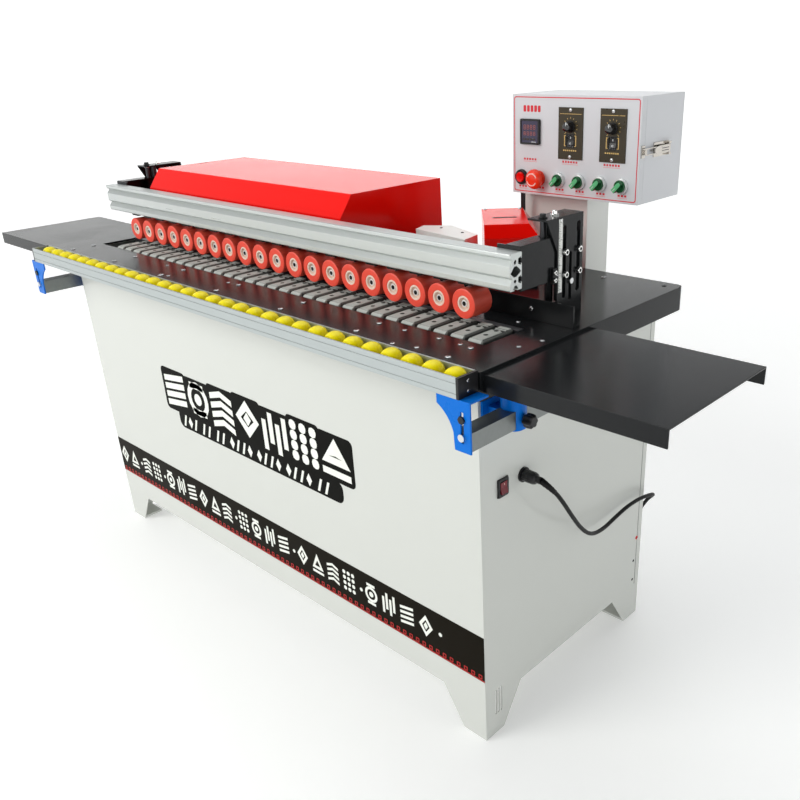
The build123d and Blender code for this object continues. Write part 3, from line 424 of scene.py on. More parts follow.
# ---- light and floor ----
def add_studio():
    scene = bpy.context.scene
    scene.view_settings.view_transform = "Standard"
    world = bpy.data.worlds.new("studio")
    scene.world = world
    world.use_nodes = True
    tree = world.node_tree
    back = tree.nodes["Background"]
    coords = tree.nodes.new("ShaderNodeTexCoord")
    split = tree.nodes.new("ShaderNodeSeparateXYZ")
    tree.links.new(coords.outputs["Generated"], split.inputs["Vector"])
    sides = []
    for axis, values in (("X", (-0.2, 0.5, 1.0, 0.03)), ("Z", (0.06, 0.4, 1.0, 0.62))):
        ramp = tree.nodes.new("ShaderNodeMapRange")
        for key, value in zip(("From Min", "From Max", "To Min", "To Max"), values):
            ramp.inputs[key].default_value = value
        tree.links.new(split.outputs[axis], ramp.inputs["Value"])
        sides.append(ramp)
    both = tree.nodes.new("ShaderNodeMath")
    both.operation = "MULTIPLY"
    tree.links.new(sides[0].outputs["Result"], both.inputs[0])
    tree.links.new(sides[1].outputs["Result"], both.inputs[1])
    tree.links.new(both.outputs["Value"], back.inputs["Strength"])
    back.inputs["Color"].default_value = (0.97, 0.985, 1.0, 1)
    for name, at, aim, size, power, tone in (
            ("key", (-1.2, -3.4, 2.9), (0, 0, 0.6), 2.2, 82, (1, 0.99, 0.96)),
            ("top", (-0.1, 0.6, 3.4), (0, 0, 0.7), 2.6, 30, (1, 1, 1)),
            ("rim", (2.8, 1.8, 2.2), (0.4, 0, 0.8), 1.4, 3, (0.88, 0.94, 1))):
        lamp = bpy.data.lights.new(name, "AREA")
        lamp.size, lamp.energy, lamp.color = size, power, tone
        obj = bpy.data.objects.new(name, lamp)
        obj.location = at
        obj.rotation_euler = (Vector(aim) - Vector(at)).to_track_quat("-Z", "Y").to_euler()
        scene.collection.objects.link(obj)
    points, faces = [(0, 0, 0)], []
    rise = [(9, 0), (11, 0.12), (12.4, 0.7), (13, 1.8), (13.1, 2.6), (13.2, 4.4)]
    for r, z in rise:
        points += [(r * math.cos(math.tau * k / 96), r * math.sin(math.tau * k / 96), z) for k in range(96)]
    for k in range(96):
        j = (k + 1) % 96
        faces.append((0, 1 + k, 1 + j))
        faces += [(1 + 96 * i + k, 97 + 96 * i + k, 97 + 96 * i + j, 1 + 96 * i + j)
                  for i in range(len(rise) - 1)]
    mesh = bpy.data.meshes.new("floor")
    mesh.from_pydata(points, [], faces)
    mesh.shade_smooth()
    pale = material("floor", (0.86, 0.87, 0.86), 0.6, vary=0.01, scale=1.0, edge=0.0)
    shader = pale.node_tree.nodes["Principled BSDF"]
    # The floor glows, more strongly further out: painted light that whitens the distant floor and lights
    # the machine from below.
    shader.inputs["Emission Color"].default_value = (1, 1, 1, 1)
    floor_glow = pale.node_tree.nodes.new("ShaderNodeMapRange")
    for key, value in zip(("From Min", "From Max", "To Min", "To Max"), (1.4, 5.0, 0.30, 0.62)):
        floor_glow.inputs[key].default_value = value
    reach = pale.node_tree.nodes.new("ShaderNodeVectorMath")
    reach.operation = "LENGTH"
    where = pale.node_tree.nodes.new("ShaderNodeTexCoord")
    pale.node_tree.links.new(where.outputs["Object"], reach.inputs[0])
    pale.node_tree.links.new(reach.outputs["Value"], floor_glow.inputs["Value"])
    pale.node_tree.links.new(floor_glow.outputs["Result"], shader.inputs["Emission Strength"])
    mesh.materials.append(pale)
    floor = bpy.data.objects.new("floor", mesh)
    floor.location.z = -0.0005
    scene.collection.objects.link(floor)


# ---- cabinet and its prints ----
def glyph(form, kind, cx, cz, w, h, y0, y1, mat):
    """One abstract mark, without meaning, in a w x h cell."""
    x0, x1, z0, z1 = cx - w / 2, cx + w / 2, cz - h / 2, cz + h / 2
    t = w * 0.17

    def diamond(rx, rz):
        return [(cx + rx, cz), (cx, cz + rz), (cx - rx, cz), (cx, cz - rz)]

    if kind == 0:
        for i in range(4):
            zz = z0 + i * h * 0.235
            form.prism("y", [(x0, zz), (x1, zz + h * 0.14), (x1, zz + h * 0.14 + t), (x0, zz + t)], y0,
                       y1, mat)
    elif kind == 1:
        form.band("y", rounded(x0, x1, cz - w / 2, cz + w / 2, w * 0.49), rounded(x0 + t, x1 - t,
                                                                                  cz - w / 2 + t,
                                                                                  cz + w / 2 - t,
                                                                                  w * 0.32), y0, y1, mat)
        form.prism("y", rounded(cx - t, cx + t, cz - t, cz + t, t * 0.98), y0, y1, mat)
        for zz in (z0, z1 - t):
            form.block(x0 + t, x1 - t, y0, y1, zz, zz + t, mat)
    elif kind == 2:
        for i in range(4):
            zz = z0 + i * h * 0.24
            form.prism("y", [(x0, zz), (cx, zz + h * 0.13), (x1, zz), (x1, zz + t),
                             (cx, zz + h * 0.13 + t), (x0, zz + t)], y0, y1, mat)
    elif kind == 3:
        form.band("y", diamond(w / 2, h / 2), diamond(w / 2 - t * 1.3, h / 2 - t * 1.7), y0, y1, mat)
        form.prism("y", diamond(w * 0.16, h * 0.18), y0, y1, mat)
    elif kind == 4:
        for i in range(4):
            xx = x0 + i * (w - t) / 3
            form.block(xx, xx + t, y0, y1, z0 + (i % 2) * h * 0.22, z1 - ((i + 1) % 2) * h * 0.22, mat)
    elif kind == 5:
        for i in range(3):
            for j in range(4):
                px, pz = x0 + (w - t * 1.5) * i / 2, z0 + (h - t * 1.5) * j / 3
                form.prism("y", rounded(px, px + t * 1.5, pz, pz + t * 1.5, t * 0.6, 2), y0, y1, mat)
    else:
        outer = [(cx, z1), (x0, z0 + t * 1.8), (x1, z0 + t * 1.8)]
        inner = [(cx, z1 - t * 2.6), (x0 + t * 1.5, z0 + t * 2.9), (x1 - t * 1.5, z0 + t * 2.9)]
        form.band("y", outer, inner, y0, y1, mat)
        form.block(x0, x1, y0, y1, z0, z0 + t, mat)


def add_cabinet_prints():
    face = -263.0
    ink, white = MATS["black_print"], MATS["white_print"]
    form = Form()
    tops = (529, 526, 532, 536, 531, 538, 534)
    feet = (420, 426, 416, 428, 420, 427, 430)
    for i in range(7):
        x = -290 + 98.5 * i
        form.prism("y", rounded(x - 54, x + 54, feet[i], tops[i], 12), face - 0.30 - 0.01 * i, face, ink)
        glyph(form, i, x, (feet[i] + tops[i]) / 2 + 1, 86, tops[i] - feet[i] - 20, face - 0.6,
              face - 0.35, white)
    form.prism("y", rounded(-294, 314, 383, 432, 17), face - 0.38, face, ink)
    x = -277.0
    for word in (3, 2, 2, 4, 4, 4, 2):
        for k in range(word):
            if (k + word) % 3 == 1:
                form.prism("y", [(x + 9, 389), (x + 18, 404), (x + 9, 419), (x, 404)], face - 0.6,
                           face - 0.4, white)
            else:
                form.prism("y", [(x, 389), (x + 7, 389), (x + 18, 419), (x + 11, 419)], face - 0.6,
                           face - 0.4, white)
            x += 23
        x += 12
    form.done("front_mark", "machine", "cabinet_paint")
    form = Form()
    form.block(-675.6, 675.6, face - 0.3, face, 140.5, 242, MATS["banner"])
    x, kind = -650.0, 3
    for word in (2, 2, 6, 4, 4, 4):
        for k in range(word):
            glyph(form, kind % 7, x, 196, 37, 50, face - 0.5, face - 0.32, white)
            kind += 3
            x += 52
        form.prism("y", rounded(x - 18, x - 9, 190, 199, 4.5, 3), face - 0.5, face - 0.32, white)
        x += 17
    form.block(-675.6, 675.6, face - 0.5, face - 0.32, 141.5, 144, MATS["key_print"])
    for i in range(74):
        x = -668 + 18.2 * i
        form.band("y", rounded(x, x + 9, 145.5, 155, 1, 1), rounded(x + 2, x + 7, 147.5, 153, 0.5, 1),
                  face - 0.5, face - 0.32, MATS["key_print"])
    form.done("lower_band", "machine", "cabinet_paint")
    form = Form()
    side = 676.0
    for sx in (-1, 1):
        form.block(sx * (side + 0.25), sx * (side - 0.3), 246.6, 248.2, 84, 722, MATS["seam"])
        for z in (100, 150):
            # Dark discs of painted shade stand for holes in the cabinet's ends.
            form.disc("x", 238, z, sx * (side - 0.2), sx * (side + 0.2), 3.2, MATS["hole_shade_and_ink"])
    form.screw("x", 245, 207, side, 1.2, 4.5, "red_plastic")
    form.block(-640, 640, 262.6, 263.3, 628, 629.5, MATS["seam"])
    form.block(-640, 640, 262.6, 263.3, 176, 177.5, MATS["seam"])
    for x in (-640, 640):
        form.block(x - 0.75, x + 0.75, 262.6, 263.3, 176, 629.5, MATS["seam"])
    for x in (-610, 0, 610):
        for z in (190, 615):
            form.screw("y", x, z, 262.8, 1.6, 5)
    form.done("cabinet_trim", "machine", "cabinet_paint")


def finish_cabinet():
    # The cabinet's inside takes the lightened white (painted light).
    inner = lambda x, y, z, n: abs(x) < 673.5 and -260.5 < y < 260.5 and z < 765
    paint("cabinet_shell", MATS["white_paint"], (inner, MATS["lightened_white_paint"]))
    paint("table_top", MATS["black_paint"])
    paint("extension_tables", MATS["black_paint"])
    paint("guide_fence", MATS["black_paint"])
    # The post takes the lightened white: painted light against the control box's shade.
    paint("control_post", MATS["lightened_white_paint"], (lambda x, y, z, n: y < 280 and z > 700,
                                               MATS["black_plastic"]))
    paint("fasteners", MATS["steel"],
          (lambda x, y, z, n: y > 230 and z > 900, MATS["nickel"]),
          (lambda x, y, z, n: 190 < y < 215 and x < 100, MATS["dark_steel"]),
          (lambda x, y, z, n: x > 300 and 0 < y < 240 and z > 774, MATS["black_paint"]))
    paint("power_inlet", MATS["black_plastic"])
    paint("cabinet_switch", MATS["dark_red"])
    paint("arm_sleeves", MATS["blue_paint"])
    form = Form()
    top = 770.0
    spots = [(-636 + 212 * i, y) for i in range(7) for y in (-232, -284)]
    for x, y in spots + [(x, 250) for x in (-600, -300, 260, 560)]:
        form.screw("z", x, y, top + 0.6, 1.4, 5)
    extra = ((486, -231), (562, -227), (610, -228), (520, -291), (565, -281), (690.5, -180), (702, -135),
             (609, -81), (-282, -230), (-193, -279), (-35, -233), (-211, -289))
    for x, y in extra:
        form.screw("z", x, y, top, 1.2, 4.2)
    for x in (-600, -330, -80, 200, 560, 690):
        form.screw("z", x, -46.5, top + 6.5, 2.2, 4.4)
    for x in (-520, -100, 300, 620):
        form.screw("y", x, 790, -59.4, -1.8, 4.4)
    form.done("table_screws", "machine", "steel")


# ---- feed: rollers, pads, rail wheels ----
def add_rollers():
    """A thick coral tyre on a cream hub, darker on the tread; one mesh for all twenty."""
    form = Form()
    face, tread, hub = MATS["roller_face"], MATS["roller_tread"], MATS["roller_hub"]
    y0, y1 = -153.5, -108.5
    tyre = [(13.6, y0 + 0.9), (14.4, y0), (22.4, y0), (22.7, y0 + 0.5), (23.1, y0), (24.6, y0 + 0.1),
            (25.6, y0 + 0.7)]
    worn = [(25.6, y0 + 0.7), (26, y0 + 1.8), (25.8, y0 + 12), (25.9, y0 + 24), (25.7, y0 + 36),
            (26, y1 - 1.6)]
    back = [(26, y1 - 1.6), (24.8, y1), (5, y1)]
    core = [(13.6, y0 + 0.9), (13.2, y0 + 0.4), (10.6, y0 + 0.4), (10.2, y0 + 0.8), (9.2, y0 + 6.8),
            (4.06, y0 + 6.8)]
    for line, mat in ((tyre, face), (worn, tread), (back, face), (core, hub)):
        strip_of_revolution(form, line, mat)
    mesh_of = form.done("roller_face_01", "roller_01_body", "red_roller", ("roller_01",))
    mesh_of.data.name = "roller_face"
    for i in range(1, 20):
        name = f"{i + 1:02d}"
        twin = bpy.data.objects.new("roller_face_" + name, mesh_of.data)
        settle(twin, f"roller_{name}_body", (f"roller_{name}",), at=(0.058 * i, 0, 0))


def strip_of_revolution(form, line, mat, segments=40):
    x, z = -552.5, 808.0
    points = [(x + r * math.cos(math.tau * k / segments), y, z + r * math.sin(math.tau * k / segments))
              for r, y in line for k in range(segments)]
    faces = []
    for i in range(len(line) - 1):
        for k in range(segments):
            j = (k + 1) % segments
            faces.append((i * segments + k, i * segments + j, (i + 1) * segments + j,
                          (i + 1) * segments + k))
    form.shell(points, faces, mat)


def add_axle_bolts():
    form = Form()
    for i in range(20):
        x = -552.5 + 58 * i
        form.lathe("y", x, 808, [(0, -147.2), (6.3, -147.2), (6.4, -150.6), (5.8, -151.3), (2.9, -151.4),
                                 (2.8, -150.6), (0, -150.6)], MATS["bearing"], 24)
        # A dark disc of painted shade for the recess in each axle head.
        form.disc("y", x, 808, -150.5, -151.45, 4.1, MATS["hole_shade_and_ink"], 16)
        form.disc("y", x, 808, -96.2, -99.9, 7.4, MATS["steel"], 6)
    form.done("axle_heads", "beam_unit", "steel")


def add_pads():
    """Moulded pads with a chamfered nose, fine cross ribs, two holes and two wide grooves; the sides and
    rib gaps are painted shade, and the holes and grooves are dark discs and bars of painted shade.
    """
    form = Form()
    rubber, dark = MATS["pad_rubber"], MATS["pad_recess_shade"]
    front, rear, top, bottom = -205.0, -125.0, 774.0, 760.0
    long = rear - front
    for i in range(31):
        x = -551 + 39.0 * i
        section = [(x - 14, bottom), (x + 14, bottom), (x + 14, top - 3.4), (x + 11.6, top - 1.2),
                   (x - 11.6, top - 1.2), (x - 14, top - 3.4)]
        # Sides and rib gaps darker than the ribs: painted shade.
        form.prism("y", section, front + 6, rear, MATS["pad_shade"])
        nose = [(front, bottom), (front + 6.5, bottom), (front + 6.5, top - 1.2), (front + 3.4, top - 1.3),
                (front, top - 4)]
        form.prism("x", nose, x - 13.4, x + 13.4, rubber)
        y = front + 7.0
        while y < rear - 2:
            part = (y - front) / long
            if not (0.70 < part < 0.78 or 0.82 < part < 0.88):
                form.block(x - 11.3, x + 11.3, y, y + 1.9, top - 1.6, top, rubber)
            y += 2.9
        # The two wide grooves and the two holes are dark bars and discs of painted shade.
        for y in (front + long * 0.74, front + long * 0.85):
            form.block(x - 12.2, x + 12.2, y - 2.4, y + 2.4, top - 1.3, top - 0.9, dark)
        for y in (front + 28, front + 54):
            form.prism("z", rounded(x - 6.4, x + 6.4, y - 5.6, y + 5.6, 1.5, 2), top - 1.0, top + 0.1,
                       rubber)
            form.disc("z", x, y, top - 0.5, top + 0.25, 4.2, dark, 16)
    form.block(-565, 633, -176, -154, 748, bottom, MATS["dark_steel"])
    form.done("feed_pads", "conveyor", "pad", ("conveyor_pads",), bevel=0.25)


def add_rail_wheels():
    """Barrel rollers of the front rail on their pins."""
    form = Form()
    yc = -329.0
    half = [(0, 14), (5, 14), (5.4, 13.4), (9, 13.6), (13.5, 12.6), (16.2, 9.5), (17.6, 4.5), (18, 0.5)]
    barrel = [(r, yc - a) for r, a in half] + [(17.8, yc)] + [(r, yc + a) for r, a in reversed(half)]
    for i in range(31):
        x = -663 + 45.2 * i
        form.lathe("y", x, 763, barrel, MATS["yellow"], 32)
        form.disc("y", x, 763, -347, -311, 2.5, MATS["steel"], 14)
        for y in (yc - 14.4, yc + 13.8):
            form.disc("y", x, 763, y, y + 0.6, 4.4, MATS["yellow_hub"], 16)
    form.done("rail_rollers", "rail_unit", "yellow_wheel", ("rail_wheels",))


def finish_rail():
    cap = lambda x, y, z, n: abs(x) > 713.2
    # Faces inside the recess along the rail's front take painted shade.
    line = lambda x, y, z, n: y < -349.0 and n.y > -0.5 and (745 < z < 769)
    paint("front_rail", MATS["rail_metal"], (cap, MATS["black_plastic"]), (line, MATS["groove_shade"]))
    tube = lambda x, y, z, n: abs(x) < 735.2 and y > -346.2 and z < 692.3
    bolt = lambda x, y, z, n: y < -349.2 and 677 < z < 691
    paint("rail_arms", MATS["blue_paint"], (bolt, MATS["steel"]), (tube, MATS["galvanised"]))
    form = Form()
    for sx in (-1, 1):
        form.disc("y", sx * 722, 712, -349, -352.2, 6.4, MATS["black_plastic"], 6)
        form.block(sx * 706, sx * 734, -46.2, -45.4, 663, 691, MATS["black_plastic"])
        for z in (750, 766):
            form.screw("x", -329, z, sx * 717.8, sx * 0.7, 2.6)
    form.done("rail_bolts", "rail_unit", "steel")


# ---- beam and columns ----
def finish_beam():
    # Recessed faces in the beam's channels take painted shade.
    def groove_shade(x, y, z, n):
        return -152.6 < y < -124.2 and abs(n.x) < 0.5 and 845.0 < z < 903.0
    # The beam's front faces take the darker copy of the anodised finish: painted shade.
    front = lambda x, y, z, n: y < -146.5 and -152.6 < y and abs(n.x) < 0.5
    paint("beam", MATS["anodised"], (front, MATS["shaded_lip"]), (groove_shade, MATS["groove_shade"]))
    bolts = lambda x, y, z, n: abs(x + 10) > 661.9 and y > -25
    axle = lambda x, y, z, n: y < -146.5 and 800 < z < 816
    plate = lambda x, y, z, n: -108 < y < -95 and 800 < z < 816
    paint("beam_brackets", MATS["black_paint"], (bolts, MATS["steel"]), (axle, MATS["bearing"]),
          (plate, MATS["steel"]))
    rod = lambda x, y, z, n: -36 < y < -20 and 620 < abs(x + 10) < 642 and z < 937.5 and abs(n.z) < 0.5
    paint("lift_columns", MATS["black_paint"], (rod, MATS["dark_steel"]))
    for side in ("left", "right"):
        paint("lift_screw_" + side, MATS["dark_steel"], (lambda x, y, z, n: 934 < z < 938, MATS["steel"]),
              (lambda x, y, z, n: z > 940.9, MATS["black_plastic"]))
    fixed, moving = Form(), Form()
    for sx in (-1, 1):
        at = lambda x: sx * (x + 10) - 10
        out = at(652.0)
        fixed.block(out, at(652.6), -28, -18, 815, 938, MATS["rule"])
        for i in range(41):
            z = 820 + 2.8 * i
            wide = 7.5 if i % 10 == 0 else (5.5 if i % 5 == 0 else 3.5)
            fixed.block(at(652.4), at(652.75), -28, -28 + wide, z, z + 0.55, MATS["hole_shade_and_ink"])
        for z in (817, 935.5):
            fixed.disc("x", -23, z, at(652.4), at(653.2), 1.6, MATS["steel"], 12)
        fixed.lathe("z", at(632), -14, [(0, 941), (8, 941), (8, 943), (5, 943.4), (4.6, 948), (3, 949.5),
                                        (0, 949.5)], MATS["chrome"], 24)
        for y in (9, 31):
            fixed.screw("z", at(628), y, 774, 3.2, 5)
        for y, z in ((-11.5, 882), (-11.5, 844), (27.5, 881), (27.5, 844)):
            moving.lathe("x", y, z, [(0, at(655.9)), (5.6, at(655.9)), (5.8, at(657.4)), (4.9, at(658.4)),
                                     (3.2, at(658.5)), (3.1, at(657.2)), (0, at(657.2))], MATS["chrome"],
                         28)
            # A dark hexagon of painted shade for the bolt's hex recess.
            moving.disc("x", y, z, at(657.1), at(657.4), 3.0, MATS["hole_shade_and_ink"], 6)
        for z in (859, 889):
            moving.screw("y", at(625), z, -115.6, 2.4, 5.2)
        moving.prism("x", [(-36, 845.6), (-36, 848.4), (-29, 847.4), (-27.5, 847), (-29, 846.6)],
                     at(653.3), at(653.9), MATS["steel"])
        for z in (840, 853):
            moving.lathe("x", -40, z, [(0, at(654.2)), (4.2, at(654.2)), (4.3, at(656.2)), (3.4, at(657)),
                                       (2.0, at(657)), (1.9, at(656)), (0, at(656))], MATS["chrome"], 24)
            # A dark hexagon of painted shade for the bolt's hex recess.
            moving.disc("x", -40, z, at(655.9), at(656.1), 1.9, MATS["hole_shade_and_ink"], 6)
    fixed.done("column_fittings", "machine", "steel")
    moving.done("carrier_bolts", "beam_unit", "steel")
    caps = Form()
    for x in (-671.0, 651.0):
        sx = 1 if x > 0 else -1
        for z in (859, 891):
            # Dark discs of painted shade stand for the bores in the beam's ends.
            caps.disc("x", -139.5, z, x - sx * 2, x + sx * 0.05, 2.2, MATS["hole_shade_and_ink"], 14)
    caps.done("beam_bores", "beam_unit", "anodised")


# ---- covers ----
def finish_covers():
    paint("main_hood", MATS["red_paint"])
    paint("small_hood", MATS["red_paint"])
    white = lambda x, y, z, n: 205 < x < 385 and 35 < y < 132 and z < 861
    paint("work_units", MATS["dark_steel"], (white, MATS["cream_paint"]))
    sprocket = lambda x, y, z, n: abs(abs(x) - 628) < 40 and -173 < y < -157
    paint("conveyor_drive", MATS["dark_steel"], (sprocket, MATS["galvanised"]))
    form = Form()
    for x in (262, 330):
        form.screw("z", x, 96 - (x - 262) * 0.15, 860, 1.2, 3.0, "dark_steel")
    form.done("cover_screws", "machine", "steel")
    form = Form()
    for x in (-540, -200, 134):
        form.screw("y", x, 800, 196.8, 1.8, 4.2, "dark_steel")
    form.block(-572.4, -571.8, -20, 130, 800, 801, MATS["seam"])
    form.done("hood_screws", "main_hood_body", "red_cover")
    form = Form()
    form.turn = Matrix.Translation((390, 144.7, 0)) @ Matrix.Rotation(math.radians(43), 4, "Z")
    form.band("z", rounded(-24, 24, -20, -12, 3, 2), rounded(-22, 22, -18, -14, 1.5, 2), 889.6, 890.5,
              MATS["dark_steel"])
    for x in (-36, 36):
        form.screw("z", x, 76, 889.8, 1.8, 3.6)
    form.done("small_hood_trim", "small_hood_body", "red_cover")


# ---- control box ----
BOX_X, BOX_Y, BOX_Z = 331.0, 245.0, 918.0
DIALS = (475.5, 572.0)


def label(form, x, z, width, y):
    """Two short rows of dashes that stand for a caption."""
    n = max(3, int(width / 6))
    for k in range(n):
        x0 = x - width / 2 + k * width / n
        form.block(x0, x0 + width / n * 0.66, y - 0.25, y, z + 0.6, z + 4.4, MATS["red_print"])
    n = int(width / 2.6)
    for k in range(n):
        x0 = x - width / 2 + k * width / n
        form.block(x0, x0 + width / n * 0.6, y - 0.25, y, z - 2.6, z - 1.2, MATS["faint_print"])


def digit(form, x, z, w, h, y, mat):
    t = w * 0.2
    for c in (0, 0.5, 1):
        form.block(x + t, x + w - t, y - 0.15, y, z + c * (h - t), z + c * (h - t) + t, mat)
    for sx in (0, 1):
        for sz in (0, 1):
            x0 = x + sx * (w - t)
            z0 = z + t / 2 + sz * (h - t) / 2
            form.block(x0, x0 + t, y - 0.15, y, z0 + 0.2, z0 + (h - t) / 2 - 0.2, mat)


def add_door_face():
    y = BOX_Y
    form = Form()
    line = MATS["red_print"]
    form.band("y", rounded(BOX_X + 4, BOX_X + 296, BOX_Z + 4, BOX_Z + 186, 5), rounded(BOX_X + 5.8,
                                                                                       BOX_X + 294.2,
                                                                                       BOX_Z + 5.8,
                                                                                       BOX_Z + 184.2,
                                                                                       3.6), y - 0.25, y,
              line)
    for k in range(5):
        form.prism("y", rounded(BOX_X + 28 + 9 * k, BOX_X + 34.5 + 9 * k, BOX_Z + 158, BOX_Z + 170, 1.6,
                                2), y - 0.25, y, line)
    label(form, BOX_X + 46, BOX_Z + 66, 34, y)
    for x in DIALS:
        label(form, x, BOX_Z + 66, 38, y)
    for k, x in enumerate((BOX_X + 24, BOX_X + 68, 448, 496.7, 545.4, 594.1)):
        label(form, x + 4, BOX_Z + 12, 22, y)
    form.done("door_prints", "control_door_body", "box_paint")
    form = Form()
    x, z, y = BOX_X + 47, BOX_Z + 121, BOX_Y - 4
    form.band("y", rounded(x - 24, x + 24, z - 24, z + 24, 2.5), rounded(x - 20.5, x + 20.5, z - 20.5,
                                                                         z + 20.5, 1.5), y - 1.6, y,
              MATS["black_plastic"])
    form.prism("y", rounded(x - 20.6, x + 20.6, z - 20.6, z + 20.6, 1.5), y - 0.7, y, MATS["glass"])
    for row, size in ((4, 9.0), (-7, 7.5)):
        for k in range(4):
            digit(form, x - 15 + 8 * k, z + row, 5.2, size, y - 0.7, MATS["digit"])
    for k in range(4):
        form.prism("y", rounded(x - 15.5 + 8 * k, x - 10.5 + 8 * k, z - 16, z - 12.4, 1, 2), y - 1.2,
                   y - 0.6, MATS["plate"])
    form.block(x + 4, x + 16, y - 0.9, y - 0.6, z - 19.4, z - 18.4, MATS["bezel"])
    form.done("temperature_display", "control_door_body", "black_plastic")
    form = Form()
    for x in DIALS:
        y, z = BOX_Y - 2, BOX_Z + 134
        form.block(x - 25, x + 25, y - 0.2, y, BOX_Z + 156.4, BOX_Z + 157.2, MATS["gold_print"])
        for k in range(11):
            a = math.radians(-45 + 27 * k)
            c, s = math.cos(a), math.sin(a)
            long = 4.4 if k in (0, 10) else 2.6
            ends = [(r * c + w * s, r * s - w * c) for r, w in ((14.5, -0.4), (14.5 + long, -0.4),
                                                                (14.5 + long, 0.4), (14.5, 0.4))]
            form.prism("y", [(x + u, z + v) for u, v in ends], y - 0.2, y, MATS["gold_print"])
        for sx in (-1, 1):
            form.block(x + sx * 12.6, x + sx * 14.2, y - 0.25, y, BOX_Z + 98, BOX_Z + 118,
                       MATS["gold_print"])
            for zz in (BOX_Z + 98, BOX_Z + 116.8):
                form.block(x + sx * 9.5, x + sx * 12.8, y - 0.25, y, zz, zz + 1.2, MATS["gold_print"])
        for k in range(7):
            form.block(x - 16 + 4.6 * k, x - 13 + 4.6 * k, y - 0.2, y, BOX_Z + 89, BOX_Z + 91.6,
                       MATS["gold_print"])
        form.band("y", rounded(x - 9.6, x + 9.6, BOX_Z + 96, BOX_Z + 120, 1.5), rounded(x - 8, x + 8,
                                                                                        BOX_Z + 97.6,
                                                                                        BOX_Z + 118.4, 1),
                  y - 0.9, y, MATS["black_plastic"])
        for zz in (BOX_Z + 164, BOX_Z + 78.5):
            form.lathe("y", x, zz, [(0, y), (3.1, y), (3.0, y - 1.2), (2.0, y - 1.9), (0, y - 2.0)],
                       MATS["bezel"], 20)
            # A dark bar of painted shade for the slot.
            form.block(x - 2.1, x + 2.1, y - 2.1, y - 1.85, zz - 0.3, zz + 0.3, MATS["hole_shade_and_ink"])
    form.done("dial_plates", "control_door_body", "black_plastic")
    form = Form()
    for x in (448, 496.7, 545.4, 594.1, BOX_X + 24, BOX_X + 68):
        wide = x < 420
        rim = MATS["black_plastic"] if x < 360 else (MATS["orange_plastic"] if wide else MATS["bezel"])
        form.lathe("y", x, 950.5, [(11.4, BOX_Y - 0.1), (15.2, BOX_Y - 0.1), (15.2, BOX_Y - 2.2),
                                   (14.4, BOX_Y - 4.4), (12.4, BOX_Y - 5.4), (11.6, BOX_Y - 5.2),
                                   (11.4, BOX_Y - 0.1)], rim, 36)
    form.done("button_rims", "control_door_body", "nickel")


